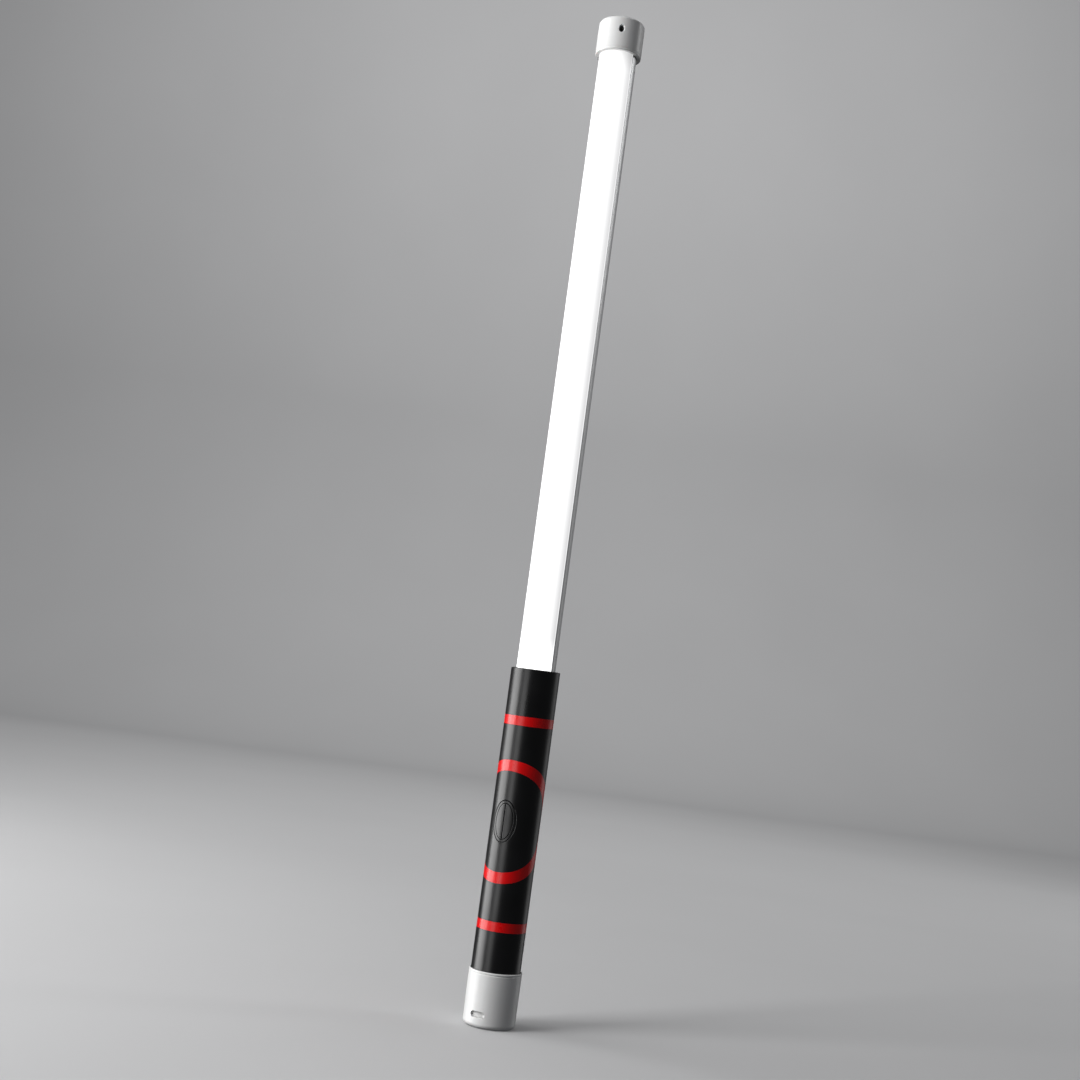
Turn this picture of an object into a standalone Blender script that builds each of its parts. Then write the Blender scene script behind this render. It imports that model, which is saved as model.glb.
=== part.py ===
"""LED light tube with a battery grip, as separate parts.

Lengths below are in millimetres and are scaled to metres when a mesh is made.
+Z is up and the base stands on z = 0. The diffuser, the button and the charging
opening face -Y. Angles are measured from -Y towards +X.
"""

import math

import bmesh
import bpy
from mathutils import Vector

MM = 0.001
GAP = 0.3
WELD = 0.000002
ROUND = 40
SMALL_ROUND = 16
TINY_ROUND = 12
SHARP_ANGLE = math.radians(32.0)

TUBE_R = 12.7
TUBE_LOW = 192.5
TUBE_HIGH = 650.0
DIFFUSER_WALL = 1.2
DIFFUSER_EDGE = 78.8
DIFFUSER_STEPS = 28
LEG_IN = 10.7
LEG_OUT = 11.5
LEG_END_Y = -0.9

SINK_WALL = 1.6
SINK_LIP_IN = 9.6
SINK_FLOOR_Y = -0.6
SINK_STEPS = 36
PORT_X = 7.6
PORT_Y = 5.4
PORT_R = 2.7
PORT_BORE = 1.6
FIN_GROOVE_ANGLES = (135.0, 153.0, 171.0, 189.0, 207.0, 225.0)
FIN_GROOVE_WIDTH = 1.2
FIN_GROOVE_DEPTH = 0.8

LED_BOARD_HALF = 9.2
LED_BOARD_BACK = -0.3
LED_BOARD_FRONT = -1.5
LED_BOARD_LOW = 194.0
LED_BOARD_HIGH = 649.0
LED_SIZE = 5.0
LED_HEIGHT = 1.2
LED_FIRST_Z = 238.0
LED_PITCH = 10.0
LED_COUNT = 41

GRIP_R = 16.0
GRIP_WALL = 2.0
GRIP_LOW = 14.0
GRIP_HIGH = 227.4
GRIP_EDGE = 0.5
COLLAR_R = 14.3
COLLAR_BORE = 13.0
COLLAR_LOW = 221.4

STRIPE_WIDTH = 6.0
STRIPE_THICK = 0.4
STRIPE_GROOVE = 0.7
STRIPE_LOWER_Z = 63.5
STRIPE_UPPER_Z = 193.6
CIRCLE_INNER = 32.0
CIRCLE_OUTER = 39.0
CIRCLE_STEPS = 64
CIRCLE_BANDS = 4

BUTTON_Z = 129.3
BUTTON_HALF_W = 8.14
BUTTON_HALF_H = 13.55
KEY_HALF_W = 6.0
KEY_HALF_H = 11.35
KEY_SPLIT_HALF = 0.15
KEY_BACK_Y = -10.3
KEY_FLANGE_Y = -10.9
KEY_FLANGE_GROW = 0.8
BEZEL_BACK_Y = -11.2
OVAL_STEPS = 36
SWITCH_X = 3.2
SWITCH_HALF = 1.9
SWITCH_FRONT_Y = -9.4
SWITCH_BACK_Y = -7.9
SWITCH_BORE = 1.15
SWITCH_BORE_END_Y = -8.2
PLUNGER_R = 0.85
PLUNGER_FRONT_Y = -10.0
PLUNGER_BACK_Y = -8.9

BOARD_FRONT_Y = -7.6
BOARD_BACK_Y = -6.4
BOARD_HALF_W = 9.0
BOARD_LOW = 100.0
BOARD_HIGH = 178.0

CELL_Y = 4.2
CELL_R = 9.2
CELL_LENGTH = 65.0
CELL_LOWER_Z = 20.5
CELL_UPPER_Z = 85.8
POCKET_R = 9.5
CARRIER_R = 10.3
CARRIER_CLIP_R = 13.6
CARRIER_DISC_R = 13.7
CARRIER_DISC_HIGH = 18.5
POCKET_LOW = 19.5
POCKET_HIGH = 156.0
CARRIER_HIGH = 157.5
CONTACT_THICK = 0.4

FOOT_R = 13.7
FOOT_LOW = 181.5
FOOT_HIGH = 192.2

TOP_CAP_R = 15.5
TOP_CAP_BORE = 13.0
TOP_CAP_LOW = 643.6
TOP_CAP_HIGH = 666.8
TOP_CAP_ROOF = 661.8
TOP_CAP_EDGE = 1.5
TOP_CAP_BEAD = 1.2
HANG_HOLE_Z = 657.9
HANG_HOLE_HALF_W = 1.55
HANG_HOLE_HALF_H = 2.25
HANG_HOLE_ANGLE = 28.5
TOP_PLUG_R = 12.6
TOP_PLUG_LOW = 650.3
TOP_PLUG_HIGH = 653.6

BASE_R_LOW = 16.9
BASE_R_RIM = 17.1
BASE_FILLET = 3.0
BASE_RIM_Z = 35.1
BASE_BORE = 16.35
BASE_LEDGE_Z = 13.7
BASE_LEDGE_BORE = 13.5
BASE_FLOOR_Z = 4.0
BOSS_R = 7.2
BOSS_BORE = 5.3
BOSS_HIGH = 9.2
INSERT_R = 5.0
INSERT_BORE = 3.175
INSERT_LOW = 0.3
INSERT_HIGH = 9.0
BASE_SCREW_X = 10.8

USB_Z = 8.5
USB_SLOT_HALF_W = 4.9
USB_SLOT_HALF_H = 1.9
USB_SHELL_HALF_W = 4.47
USB_SHELL_HALF_H = 1.63
USB_SHELL_WALL = 0.3
USB_MOUTH_Y = -13.9
USB_BACK_Y = -7.5
COVER_R = 15.3
COVER_BACK_Y = -14.2
COVER_HALF_W = 4.6
COVER_HALF_H = 1.6
USB_BOARD_LOW = 10.43
USB_BOARD_HIGH = 11.63

SCREW_HEAD_R = 2.3
SCREW_HEAD_HIGH = 1.4
SCREW_SHANK_R = 1.1
SCREW_HOLE_R = 1.4
COUNTERBORE_R = 2.6
SOCKET_R = 1.1
SOCKET_DEPTH = 0.8
LONG_SHANK_R = 1.25
LONG_HOLE_R = 1.55

WIRE_R = 0.6
WIRE_SIDES = 8


def clear_scene():
    """Remove every object that the scene starts with."""
    for thing in list(bpy.data.objects):
        bpy.data.objects.remove(thing)


def finish_material(name, colour, roughness, metallic):
    """Make one Principled material."""
    material = bpy.data.materials.new(name)
    material.use_nodes = True
    shader = material.node_tree.nodes["Principled BSDF"]
    shader.inputs["Base Color"].default_value = (*colour, 1.0)
    shader.inputs["Roughness"].default_value = roughness
    shader.inputs["Metallic"].default_value = metallic
    return material


def white_plastic(name):
    """Satin white moulded plastic."""
    return finish_material(name, (0.86, 0.86, 0.85), 0.3, 0.0)


def black_plastic(name):
    """Gloss black moulded plastic."""
    return finish_material(name, (0.012, 0.012, 0.013), 0.28, 0.0)


def red_print(name):
    """Saturated red inlay."""
    return finish_material(name, (0.75, 0.0, 0.006), 0.3, 0.0)


def frosted_plastic(name):
    """Milky light-spreading plastic."""
    return finish_material(name, (0.95, 0.95, 0.95), 0.5, 0.0)


def raw_aluminium(name):
    """Fine satin aluminium."""
    return finish_material(name, (0.62, 0.63, 0.64), 0.38, 1.0)


def bright_steel(name):
    """Plated steel."""
    return finish_material(name, (0.66, 0.66, 0.67), 0.25, 1.0)


def brass_metal(name):
    """Turned brass."""
    return finish_material(name, (0.72, 0.52, 0.22), 0.3, 1.0)


def green_laminate(name):
    """Circuit board laminate with a green mask."""
    return finish_material(name, (0.02, 0.16, 0.06), 0.45, 0.0)


def white_laminate(name):
    """Circuit board laminate with a white mask."""
    return finish_material(name, (0.88, 0.88, 0.86), 0.45, 0.0)


def dark_epoxy(name):
    """Moulded component body."""
    return finish_material(name, (0.03, 0.03, 0.035), 0.5, 0.0)


def cell_wrap(name):
    """Shrink wrap of a lithium cell."""
    return finish_material(name, (0.05, 0.16, 0.42), 0.35, 0.0)


def grey_plastic(name):
    """Inner structural plastic."""
    return finish_material(name, (0.25, 0.25, 0.26), 0.5, 0.0)


def wire_jacket(name, colour):
    """Soft wire insulation."""
    return finish_material(name, colour, 0.5, 0.0)


def new_object(name, points, faces, material):
    """Make one object from millimetre points, with its faces turned outward."""
    mesh = bpy.data.meshes.new(name)
    mesh.from_pydata([Vector(point) * MM for point in points], [], faces)
    shape = bmesh.new()
    shape.from_mesh(mesh)
    bmesh.ops.recalc_face_normals(shape, faces=shape.faces)
    shape.to_mesh(mesh)
    shape.free()
    if material is not None:
        mesh.materials.append(material)
    thing = bpy.data.objects.new(name, mesh)
    bpy.context.scene.collection.objects.link(thing)
    return thing


def smooth(thing):
    """Shade a round piece smooth and keep its real edges sharp."""
    thing.data.shade_smooth()
    thing.data.set_sharp_from_angle(angle=SHARP_ANGLE)
    return thing


def combine(target, tool, operation):
    """Apply one exact boolean and drop the tool object."""
    tool.hide_render = True
    tool.display_type = "WIRE"
    modifier = target.modifiers.new("combine", "BOOLEAN")
    modifier.object = tool
    modifier.operation = operation
    modifier.solver = "EXACT"
    graph = bpy.context.evaluated_depsgraph_get()
    result = bpy.data.meshes.new_from_object(target.evaluated_get(graph))
    target.modifiers.clear()
    target.data = result
    bpy.data.objects.remove(tool)
    weld(target)


def weld(thing):
    """Join points that a boolean left closer together than the weld distance."""
    shape = bmesh.new()
    shape.from_mesh(thing.data)
    bmesh.ops.remove_doubles(shape, verts=shape.verts, dist=WELD)
    bmesh.ops.dissolve_degenerate(shape, edges=shape.edges, dist=WELD)
    shape.to_mesh(thing.data)
    shape.free()


def cut(target, tool):
    """Take the tool's shape out of the target."""
    combine(target, tool, "DIFFERENCE")


def add(target, tool):
    """Fuse the tool's shape onto the target."""
    combine(target, tool, "UNION")


def keep_inside(target, tool):
    """Keep only what the target shares with the tool."""
    combine(target, tool, "INTERSECT")


def set_origin(thing, point):
    """Move an object's origin without moving its surface."""
    shift = Vector(point) * MM
    for vertex in thing.data.vertices:
        vertex.co -= shift
    thing.location = shift


def axis_point(axis, centre, across, up, along):
    """Place local coordinates on an axis named X, Y or Z."""
    if axis == "Z":
        return (centre[0] + across, centre[1] + up, along)
    if axis == "Y":
        return (centre[0] + across, along, centre[1] + up)
    return (along, centre[0] + across, centre[1] + up)


def lathe(name, profile, material, steps=ROUND, axis="Z", centre=(0.0, 0.0)):
    """Turn a closed loop of (radius, height) points about an axis."""
    points = []
    rings = []
    for radius, height in profile:
        if radius == 0.0:
            points.append(axis_point(axis, centre, 0.0, 0.0, height))
            rings.append([len(points) - 1] * steps)
            continue
        ring = []
        for step in range(steps):
            angle = 2.0 * math.pi * step / steps
            across = radius * math.cos(angle)
            up = radius * math.sin(angle)
            points.append(axis_point(axis, centre, across, up, height))
            ring.append(len(points) - 1)
        rings.append(ring)
    faces = []
    for index, ring in enumerate(rings):
        following = rings[(index + 1) % len(rings)]
        for step in range(steps):
            after = (step + 1) % steps
            corners = [ring[step], ring[after], following[after], following[step]]
            unique = list(dict.fromkeys(corners))
            if len(unique) > 2:
                faces.append(unique)
    return new_object(name, points, faces, material)


def cylinder(name, radius, low, high, material=None, steps=SMALL_ROUND, axis="Z", centre=(0.0, 0.0)):
    """A solid round bar along an axis."""
    profile = [(0.0, low), (radius, low), (radius, high), (0.0, high)]
    return lathe(name, profile, material, steps, axis, centre)


def prism(name, outline, low, high, material=None, axis="Z"):
    """Push a flat outline along an axis."""
    count = len(outline)
    points = [axis_point(axis, (0.0, 0.0), across, up, low) for across, up in outline]
    points += [axis_point(axis, (0.0, 0.0), across, up, high) for across, up in outline]
    faces = [list(range(count)), list(range(count, 2 * count))]
    for index in range(count):
        after = (index + 1) % count
        faces.append([index, after, count + after, count + index])
    return new_object(name, points, faces, material)


def block(name, x_span, y_span, z_span, material=None):
    """A plain box between two corners."""
    outline = [
        (x_span[0], y_span[0]),
        (x_span[1], y_span[0]),
        (x_span[1], y_span[1]),
        (x_span[0], y_span[1]),
    ]
    return prism(name, outline, z_span[0], z_span[1], material)


def on_circle(radius, degrees):
    """Point at an angle from -Y towards +X."""
    angle = math.radians(degrees)
    return (radius * math.sin(angle), -radius * math.cos(angle))


def arc(radius, first, last, steps):
    """Points along an arc, both ends included."""
    span = last - first
    return [on_circle(radius, first + span * step / steps) for step in range(steps + 1)]


def oval(half_width, half_height, centre_z):
    """Closed ellipse outline."""
    points = []
    for step in range(OVAL_STEPS):
        angle = 2.0 * math.pi * (step + 0.5) / OVAL_STEPS
        points.append((half_width * math.cos(angle), centre_z + half_height * math.sin(angle)))
    return points


def half_oval(half_width, half_height, centre_z, edge_x, side):
    """Part of an ellipse on one side of an upright line."""
    limit = math.acos(side * edge_x / half_width)
    steps = OVAL_STEPS // 2
    points = []
    for step in range(steps + 1):
        angle = -limit + 2.0 * limit * step / steps
        across = side * half_width * math.cos(angle)
        points.append((across, centre_z + half_height * math.sin(angle)))
    return points


def stadium(half_width, half_height, centre_z):
    """Slot outline with full round ends."""
    straight = half_width - half_height
    steps = 8
    points = []
    for side, start in ((1.0, -90.0), (-1.0, 90.0)):
        for step in range(steps + 1):
            angle = math.radians(start + 180.0 * step / steps)
            across = side * straight + half_height * math.cos(angle)
            points.append((across, centre_z + half_height * math.sin(angle)))
    return points


def wrapped_ring(name, inner, outer, low_radius, high_radius, material=None):
    """A flat ring laid round the grip, centred on the button."""
    points = []
    for radius in (low_radius, high_radius):
        for band in range(CIRCLE_BANDS + 1):
            reach = inner + (outer - inner) * band / CIRCLE_BANDS
            for step in range(CIRCLE_STEPS):
                turn = 2.0 * math.pi * step / CIRCLE_STEPS
                around = reach * math.cos(turn) / GRIP_R
                height = BUTTON_Z + reach * math.sin(turn)
                points.append((radius * math.sin(around), -radius * math.cos(around), height))
    layer = (CIRCLE_BANDS + 1) * CIRCLE_STEPS
    faces = []
    for step in range(CIRCLE_STEPS):
        after = (step + 1) % CIRCLE_STEPS
        for side in range(2):
            for band in range(CIRCLE_BANDS):
                near = side * layer + band * CIRCLE_STEPS
                far = near + CIRCLE_STEPS
                faces.append([near + step, near + after, far + after, far + step])
        for band in (0, CIRCLE_BANDS):
            low = band * CIRCLE_STEPS
            faces.append([low + step, low + after, layer + low + after, layer + low + step])
    return new_object(name, points, faces, material)


def wire(name, path, material):
    """A round wire along a path of points, with both ends closed."""
    centres = [Vector(point) for point in path]
    points = []
    for index, centre in enumerate(centres):
        before = centres[max(index - 1, 0)]
        after = centres[min(index + 1, len(centres) - 1)]
        along = (after - before).normalized()
        side = along.cross(Vector((1.0, 0.0, 0.0))).normalized()
        other = along.cross(side)
        for step in range(WIRE_SIDES):
            angle = 2.0 * math.pi * step / WIRE_SIDES
            offset = side * math.cos(angle) + other * math.sin(angle)
            points.append(centre + offset * WIRE_R)
    faces = []
    for index in range(len(centres) - 1):
        near = index * WIRE_SIDES
        far = near + WIRE_SIDES
        for step in range(WIRE_SIDES):
            after = (step + 1) % WIRE_SIDES
            faces.append([near + step, near + after, far + after, far + step])
    last = (len(centres) - 1) * WIRE_SIDES
    faces.append(list(range(WIRE_SIDES)))
    faces.append(list(range(last, last + WIRE_SIDES)))
    return smooth(new_object(name, points, faces, material))


def bend(first, corner, last, steps=5):
    """Points of a rounded corner from one point to another."""
    points = []
    for step in range(steps + 1):
        share = step / steps
        start = Vector(first).lerp(Vector(corner), share)
        end = Vector(corner).lerp(Vector(last), share)
        points.append(tuple(start.lerp(end, share)))
    return points


def screw(name, centre, face_z, tip_z, shank_r):
    """A cap screw on an upright axis, its socket in the outer face of the head."""
    way = 1.0 if tip_z > face_z else -1.0
    under = face_z + way * SCREW_HEAD_HIGH
    profile = [
        (0.0, face_z),
        (SCREW_HEAD_R - 0.2, face_z),
        (SCREW_HEAD_R, face_z + way * 0.2),
        (SCREW_HEAD_R, under),
        (shank_r, under),
        (shank_r, tip_z - way * 0.5),
        (shank_r - 0.4, tip_z),
        (0.0, tip_z),
    ]
    thing = lathe(name, profile, bright_steel(name), SMALL_ROUND, "Z", centre)
    low = min(face_z - way * 0.5, face_z + way * SOCKET_DEPTH)
    high = max(face_z - way * 0.5, face_z + way * SOCKET_DEPTH)
    cut(thing, cylinder("socket_cutter", SOCKET_R, low, high, None, 6, "Z", centre))
    return smooth(thing)


def bottom_cap():
    """White cup that closes the grip and takes the charging socket."""
    profile = [(BOSS_BORE, 0.0)]
    for step in range(5):
        angle = math.radians(90.0 * step / 4)
        across = BASE_R_LOW - BASE_FILLET + BASE_FILLET * math.sin(angle)
        profile.append((across, BASE_FILLET - BASE_FILLET * math.cos(angle)))
    profile += [
        (BASE_R_RIM, BASE_RIM_Z - 0.3),
        (BASE_R_RIM - 0.25, BASE_RIM_Z),
        (BASE_BORE + 0.15, BASE_RIM_Z),
        (BASE_BORE, BASE_RIM_Z - 0.2),
        (BASE_BORE, BASE_LEDGE_Z),
        (BASE_LEDGE_BORE, BASE_LEDGE_Z),
        (BASE_LEDGE_BORE, BASE_FLOOR_Z),
        (BOSS_R, BASE_FLOOR_Z),
        (BOSS_R, BOSS_HIGH),
        (BOSS_BORE, BOSS_HIGH),
    ]
    thing = lathe("bottom_cap", profile, white_plastic("bottom_cap"))
    slot = stadium(USB_SLOT_HALF_W, USB_SLOT_HALF_H, USB_Z)
    cut(thing, prism("slot_cutter", slot, -18.0, -12.0, None, "Y"))
    for x in (-BASE_SCREW_X, BASE_SCREW_X):
        cut(thing, cylinder("head_cutter", COUNTERBORE_R, -1.0, 2.4, centre=(x, 0.0)))
        cut(thing, cylinder("shank_cutter", SCREW_HOLE_R, 1.0, 5.0, centre=(x, 0.0)))
    return smooth(thing)


def tripod_insert():
    """Brass thread insert in the base."""
    profile = [
        (INSERT_BORE, INSERT_LOW),
        (INSERT_R, INSERT_LOW),
        (INSERT_R, INSERT_HIGH),
        (INSERT_BORE, INSERT_HIGH),
    ]
    return smooth(lathe("tripod_insert", profile, brass_metal("tripod_insert"), 32))


def base_screws():
    """Two screws that hold the bottom cap to the battery carrier."""
    screw("base_screw_left", (-BASE_SCREW_X, 0.0), 0.6, 17.0, SCREW_SHANK_R)
    screw("base_screw_right", (BASE_SCREW_X, 0.0), 0.6, 17.0, SCREW_SHANK_R)


def usb_board():
    """Small charging board above the socket."""
    z_span = (USB_BOARD_LOW, USB_BOARD_HIGH)
    block("usb_board", (-7.5, 7.5), (-10.8, 8.0), z_span, green_laminate("usb_board"))
    chip_span = (USB_BOARD_HIGH + GAP, USB_BOARD_HIGH + GAP + 1.0)
    block("charge_chip", (-2.5, 2.5), (-2.0, 3.0), chip_span, dark_epoxy("charge_chip"))


def usb_socket():
    """Plated socket shell, closed at the back."""
    outline = stadium(USB_SHELL_HALF_W, USB_SHELL_HALF_H, USB_Z)
    shell = prism("usb_socket", outline, USB_MOUTH_Y, USB_BACK_Y, bright_steel("usb_socket"), "Y")
    half_w = USB_SHELL_HALF_W - USB_SHELL_WALL
    half_h = USB_SHELL_HALF_H - USB_SHELL_WALL
    hollow = stadium(half_w, half_h, USB_Z)
    cut(shell, prism("hollow_cutter", hollow, USB_MOUTH_Y - 1.0, USB_BACK_Y - 0.5, None, "Y"))
    return smooth(shell)


def usb_tongue():
    """Contact tongue inside the socket."""
    z_span = (USB_Z - 0.35, USB_Z + 0.35)
    block("usb_tongue", (-3.35, 3.35), (-12.9, -8.3), z_span, dark_epoxy("usb_tongue"))


def port_cover():
    """Soft white plug over the charging opening, set back from the cap's surface."""
    outline = stadium(COVER_HALF_W, COVER_HALF_H, USB_Z)
    thing = prism("port_cover", outline, -18.0, COVER_BACK_Y, white_plastic("port_cover"), "Y")
    keep_inside(thing, cylinder("core_cutter", COVER_R, 0.0, 20.0, None, ROUND))
    set_origin(thing, (0.0, COVER_BACK_Y, USB_Z))
    return smooth(thing)


def grip_shell():
    """Black grip tube with grooves for the red inlays and the button hole."""
    groove = GRIP_R - STRIPE_GROOVE
    half = STRIPE_WIDTH / 2.0 + GAP
    profile = [
        (GRIP_R - GRIP_WALL, GRIP_LOW),
        (GRIP_R, GRIP_LOW),
        (GRIP_R, STRIPE_LOWER_Z - half),
        (groove, STRIPE_LOWER_Z - half),
        (groove, STRIPE_LOWER_Z + half),
        (GRIP_R, STRIPE_LOWER_Z + half),
        (GRIP_R, STRIPE_UPPER_Z - half),
        (groove, STRIPE_UPPER_Z - half),
        (groove, STRIPE_UPPER_Z + half),
        (GRIP_R, STRIPE_UPPER_Z + half),
        (GRIP_R, GRIP_HIGH - GRIP_EDGE),
        (GRIP_R - GRIP_EDGE * 0.3, GRIP_HIGH - GRIP_EDGE * 0.3),
        (GRIP_R - GRIP_EDGE, GRIP_HIGH),
        (COLLAR_R + GAP, GRIP_HIGH),
        (COLLAR_R + GAP, COLLAR_LOW - GAP),
        (GRIP_R - GRIP_WALL, COLLAR_LOW - GAP),
    ]
    thing = lathe("grip_shell", profile, black_plastic("grip_shell"))
    inner = CIRCLE_INNER - GAP
    outer = CIRCLE_OUTER + GAP
    cut(thing, wrapped_ring("circle_cutter", inner, outer, groove, GRIP_R + 0.8))
    hole = oval(BUTTON_HALF_W + GAP, BUTTON_HALF_H + GAP, BUTTON_Z)
    cut(thing, prism("button_cutter", hole, -20.0, -8.0, None, "Y"))
    return smooth(thing)


def stripe_ring(name, centre_z):
    """Red band flush with the grip."""
    low = centre_z - STRIPE_WIDTH / 2.0
    high = centre_z + STRIPE_WIDTH / 2.0
    inner = GRIP_R - STRIPE_THICK
    profile = [(inner, low), (GRIP_R, low), (GRIP_R, high), (inner, high)]
    return smooth(lathe(name, profile, red_print(name)))


def stripe_circle():
    """Red circle laid round the button."""
    inner = GRIP_R - STRIPE_THICK
    material = red_print("stripe_circle")
    return smooth(wrapped_ring("stripe_circle", CIRCLE_INNER, CIRCLE_OUTER, inner, GRIP_R, material))


def grip_collar():
    """Ring that centres the tube in the mouth of the grip."""
    high = GRIP_HIGH - GAP
    profile = [(COLLAR_BORE, COLLAR_LOW), (COLLAR_R, COLLAR_LOW), (COLLAR_R, high), (COLLAR_BORE, high)]
    return smooth(lathe("grip_collar", profile, black_plastic("grip_collar")))


def grip_core(name):
    """Solid bar with the grip's outer radius at the button's height."""
    return cylinder(name, GRIP_R, BUTTON_Z - 20.0, BUTTON_Z + 20.0, None, ROUND)


def button_bezel():
    """Oval frame round the keys."""
    outline = oval(BUTTON_HALF_W, BUTTON_HALF_H, BUTTON_Z)
    material = black_plastic("button_bezel")
    thing = prism("button_bezel", outline, -18.0, BEZEL_BACK_Y, material, "Y")
    keep_inside(thing, grip_core("core_cutter"))
    opening = oval(KEY_HALF_W + GAP, KEY_HALF_H + GAP, BUTTON_Z)
    cut(thing, prism("opening_cutter", opening, -20.0, -8.0, None, "Y"))
    return smooth(thing)


def key(name, side, centre_x):
    """One half of the oval button, with a flange that keeps it behind the bezel."""
    edge = side * KEY_SPLIT_HALF
    face = half_oval(KEY_HALF_W, KEY_HALF_H, BUTTON_Z, edge, side)
    thing = prism(name, face, -18.0, KEY_BACK_Y - 0.2, black_plastic(name), "Y")
    keep_inside(thing, grip_core("core_cutter"))
    half_w = KEY_HALF_W + KEY_FLANGE_GROW
    half_h = KEY_HALF_H + KEY_FLANGE_GROW
    flange = half_oval(half_w, half_h, BUTTON_Z, edge + side * 0.05, side)
    add(thing, prism("flange_part", flange, KEY_FLANGE_Y, KEY_BACK_Y, None, "Y"))
    set_origin(thing, (centre_x, KEY_BACK_Y, BUTTON_Z))
    return smooth(thing)


def plunger(name, centre_x):
    """Pin that carries a key's push into its switch."""
    centre = (centre_x, BUTTON_Z)
    material = grey_plastic(name)
    thing = cylinder(name, PLUNGER_R, PLUNGER_FRONT_Y, PLUNGER_BACK_Y, material, TINY_ROUND, "Y", centre)
    set_origin(thing, (centre_x, PLUNGER_FRONT_Y, BUTTON_Z))
    return smooth(thing)


def switch(name, centre_x):
    """Switch body with a blind bore for its plunger."""
    x_span = (centre_x - SWITCH_HALF, centre_x + SWITCH_HALF)
    z_span = (BUTTON_Z - SWITCH_HALF, BUTTON_Z + SWITCH_HALF)
    thing = block(name, x_span, (SWITCH_FRONT_Y, SWITCH_BACK_Y), z_span, dark_epoxy(name))
    low = SWITCH_FRONT_Y - 1.0
    centre = (centre_x, BUTTON_Z)
    bore = cylinder("bore_cutter", SWITCH_BORE, low, SWITCH_BORE_END_Y, None, 16, "Y", centre)
    cut(thing, bore)
    return thing


def control_board():
    """Upright board behind the button."""
    x_span = (-BOARD_HALF_W, BOARD_HALF_W)
    z_span = (BOARD_LOW, BOARD_HIGH)
    material = green_laminate("control_board")
    return block("control_board", x_span, (BOARD_FRONT_Y, BOARD_BACK_Y), z_span, material)


def driver_chip():
    """Light driver on the control board."""
    y_span = (BOARD_FRONT_Y - GAP - 0.9, BOARD_FRONT_Y - GAP)
    return block("driver_chip", (-2.5, 2.5), y_span, (147.0, 152.0), dark_epoxy("driver_chip"))


def inductor():
    """Wound inductor on the control board."""
    low = BOARD_FRONT_Y - GAP - 2.6
    high = BOARD_FRONT_Y - GAP
    thing = cylinder("inductor", 3.0, low, high, dark_epoxy("inductor"), SMALL_ROUND, "Y", (-3.8, 160.0))
    return smooth(thing)


def capacitor(name, centre_z):
    """Round can capacitor on the control board."""
    low = BOARD_FRONT_Y - GAP - 3.2
    high = BOARD_FRONT_Y - GAP
    thing = cylinder(name, 2.0, low, high, bright_steel(name), SMALL_ROUND, "Y", (4.2, centre_z))
    return smooth(thing)


def battery_carrier():
    """Trough that holds both cells, with a disc that closes the grip's lower end."""
    centre = (0.0, CELL_Y)
    thing = cylinder("battery_carrier", CARRIER_R, 18.0, CARRIER_HIGH, grey_plastic("battery_carrier"),
                     32, "Z", centre)
    keep_inside(thing, cylinder("clip_cutter", CARRIER_CLIP_R, 10.0, 170.0, None, ROUND))
    cut(thing, cylinder("pocket_cutter", POCKET_R, POCKET_LOW, POCKET_HIGH, None, 32, "Z", centre))
    cut(thing, block("window_cutter", (-8.2, 8.2), (9.0, 16.0), (POCKET_LOW, POCKET_HIGH)))
    add(thing, cylinder("disc_part", CARRIER_DISC_R, GRIP_LOW, CARRIER_DISC_HIGH, None, ROUND))
    cut(thing, block("tab_cutter", (-2.4, 2.4), (-8.0, -4.0), (POCKET_LOW, POCKET_LOW + 1.0)))
    cut(thing, cylinder("lead_cutter", 1.3, 150.0, 160.0, None, TINY_ROUND, "Z", centre))
    for x in (-BASE_SCREW_X, BASE_SCREW_X):
        cut(thing, cylinder("screw_cutter", SCREW_HOLE_R, 12.0, 17.5, None, SMALL_ROUND, "Z", (x, 0.0)))
    for x in (-3.0, 3.0):
        cut(thing, cylinder("wire_cutter", 1.3, 12.0, 20.0, None, TINY_ROUND, "Z", (x, -9.0)))
    return thing


def battery_cell(name, low):
    """Round lithium cell with its raised end."""
    shoulder = low + CELL_LENGTH - 1.0
    profile = [
        (0.0, low),
        (CELL_R - 0.4, low),
        (CELL_R, low + 0.4),
        (CELL_R, shoulder - 0.4),
        (CELL_R - 0.4, shoulder),
        (2.9, shoulder),
        (2.9, low + CELL_LENGTH),
        (0.0, low + CELL_LENGTH),
    ]
    return smooth(lathe(name, profile, cell_wrap(name), 32, "Z", (0.0, CELL_Y)))


def contact_lower():
    """Plate under the lower cell, with a tab through the carrier."""
    low = POCKET_LOW + GAP
    high = low + CONTACT_THICK
    centre = (0.0, CELL_Y)
    thing = cylinder("contact_lower", 7.0, low, high, bright_steel("contact_lower"), 24, "Z", centre)
    add(thing, block("tab_part", (-1.8, 1.8), (-7.7, 0.0), (low, high)))
    return thing


def contact_upper():
    """Leaf spring above the upper cell, folded from one strip."""
    low = CELL_UPPER_Z + CELL_LENGTH + GAP
    high = POCKET_HIGH - GAP
    thick = CONTACT_THICK
    outline = [
        (CELL_Y - 5.0, high),
        (CELL_Y - 5.0, high - thick),
        (CELL_Y + 3.4, high - thick),
        (CELL_Y - 1.4, low + thick),
        (CELL_Y - 2.6, low + 1.2),
        (CELL_Y - 3.0, low + 1.0),
        (CELL_Y - 1.5, low),
        (CELL_Y - 1.2, low),
        (CELL_Y + 4.6, high),
    ]
    return prism("contact_upper", outline, -2.5, 2.5, bright_steel("contact_upper"), "X")


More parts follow.
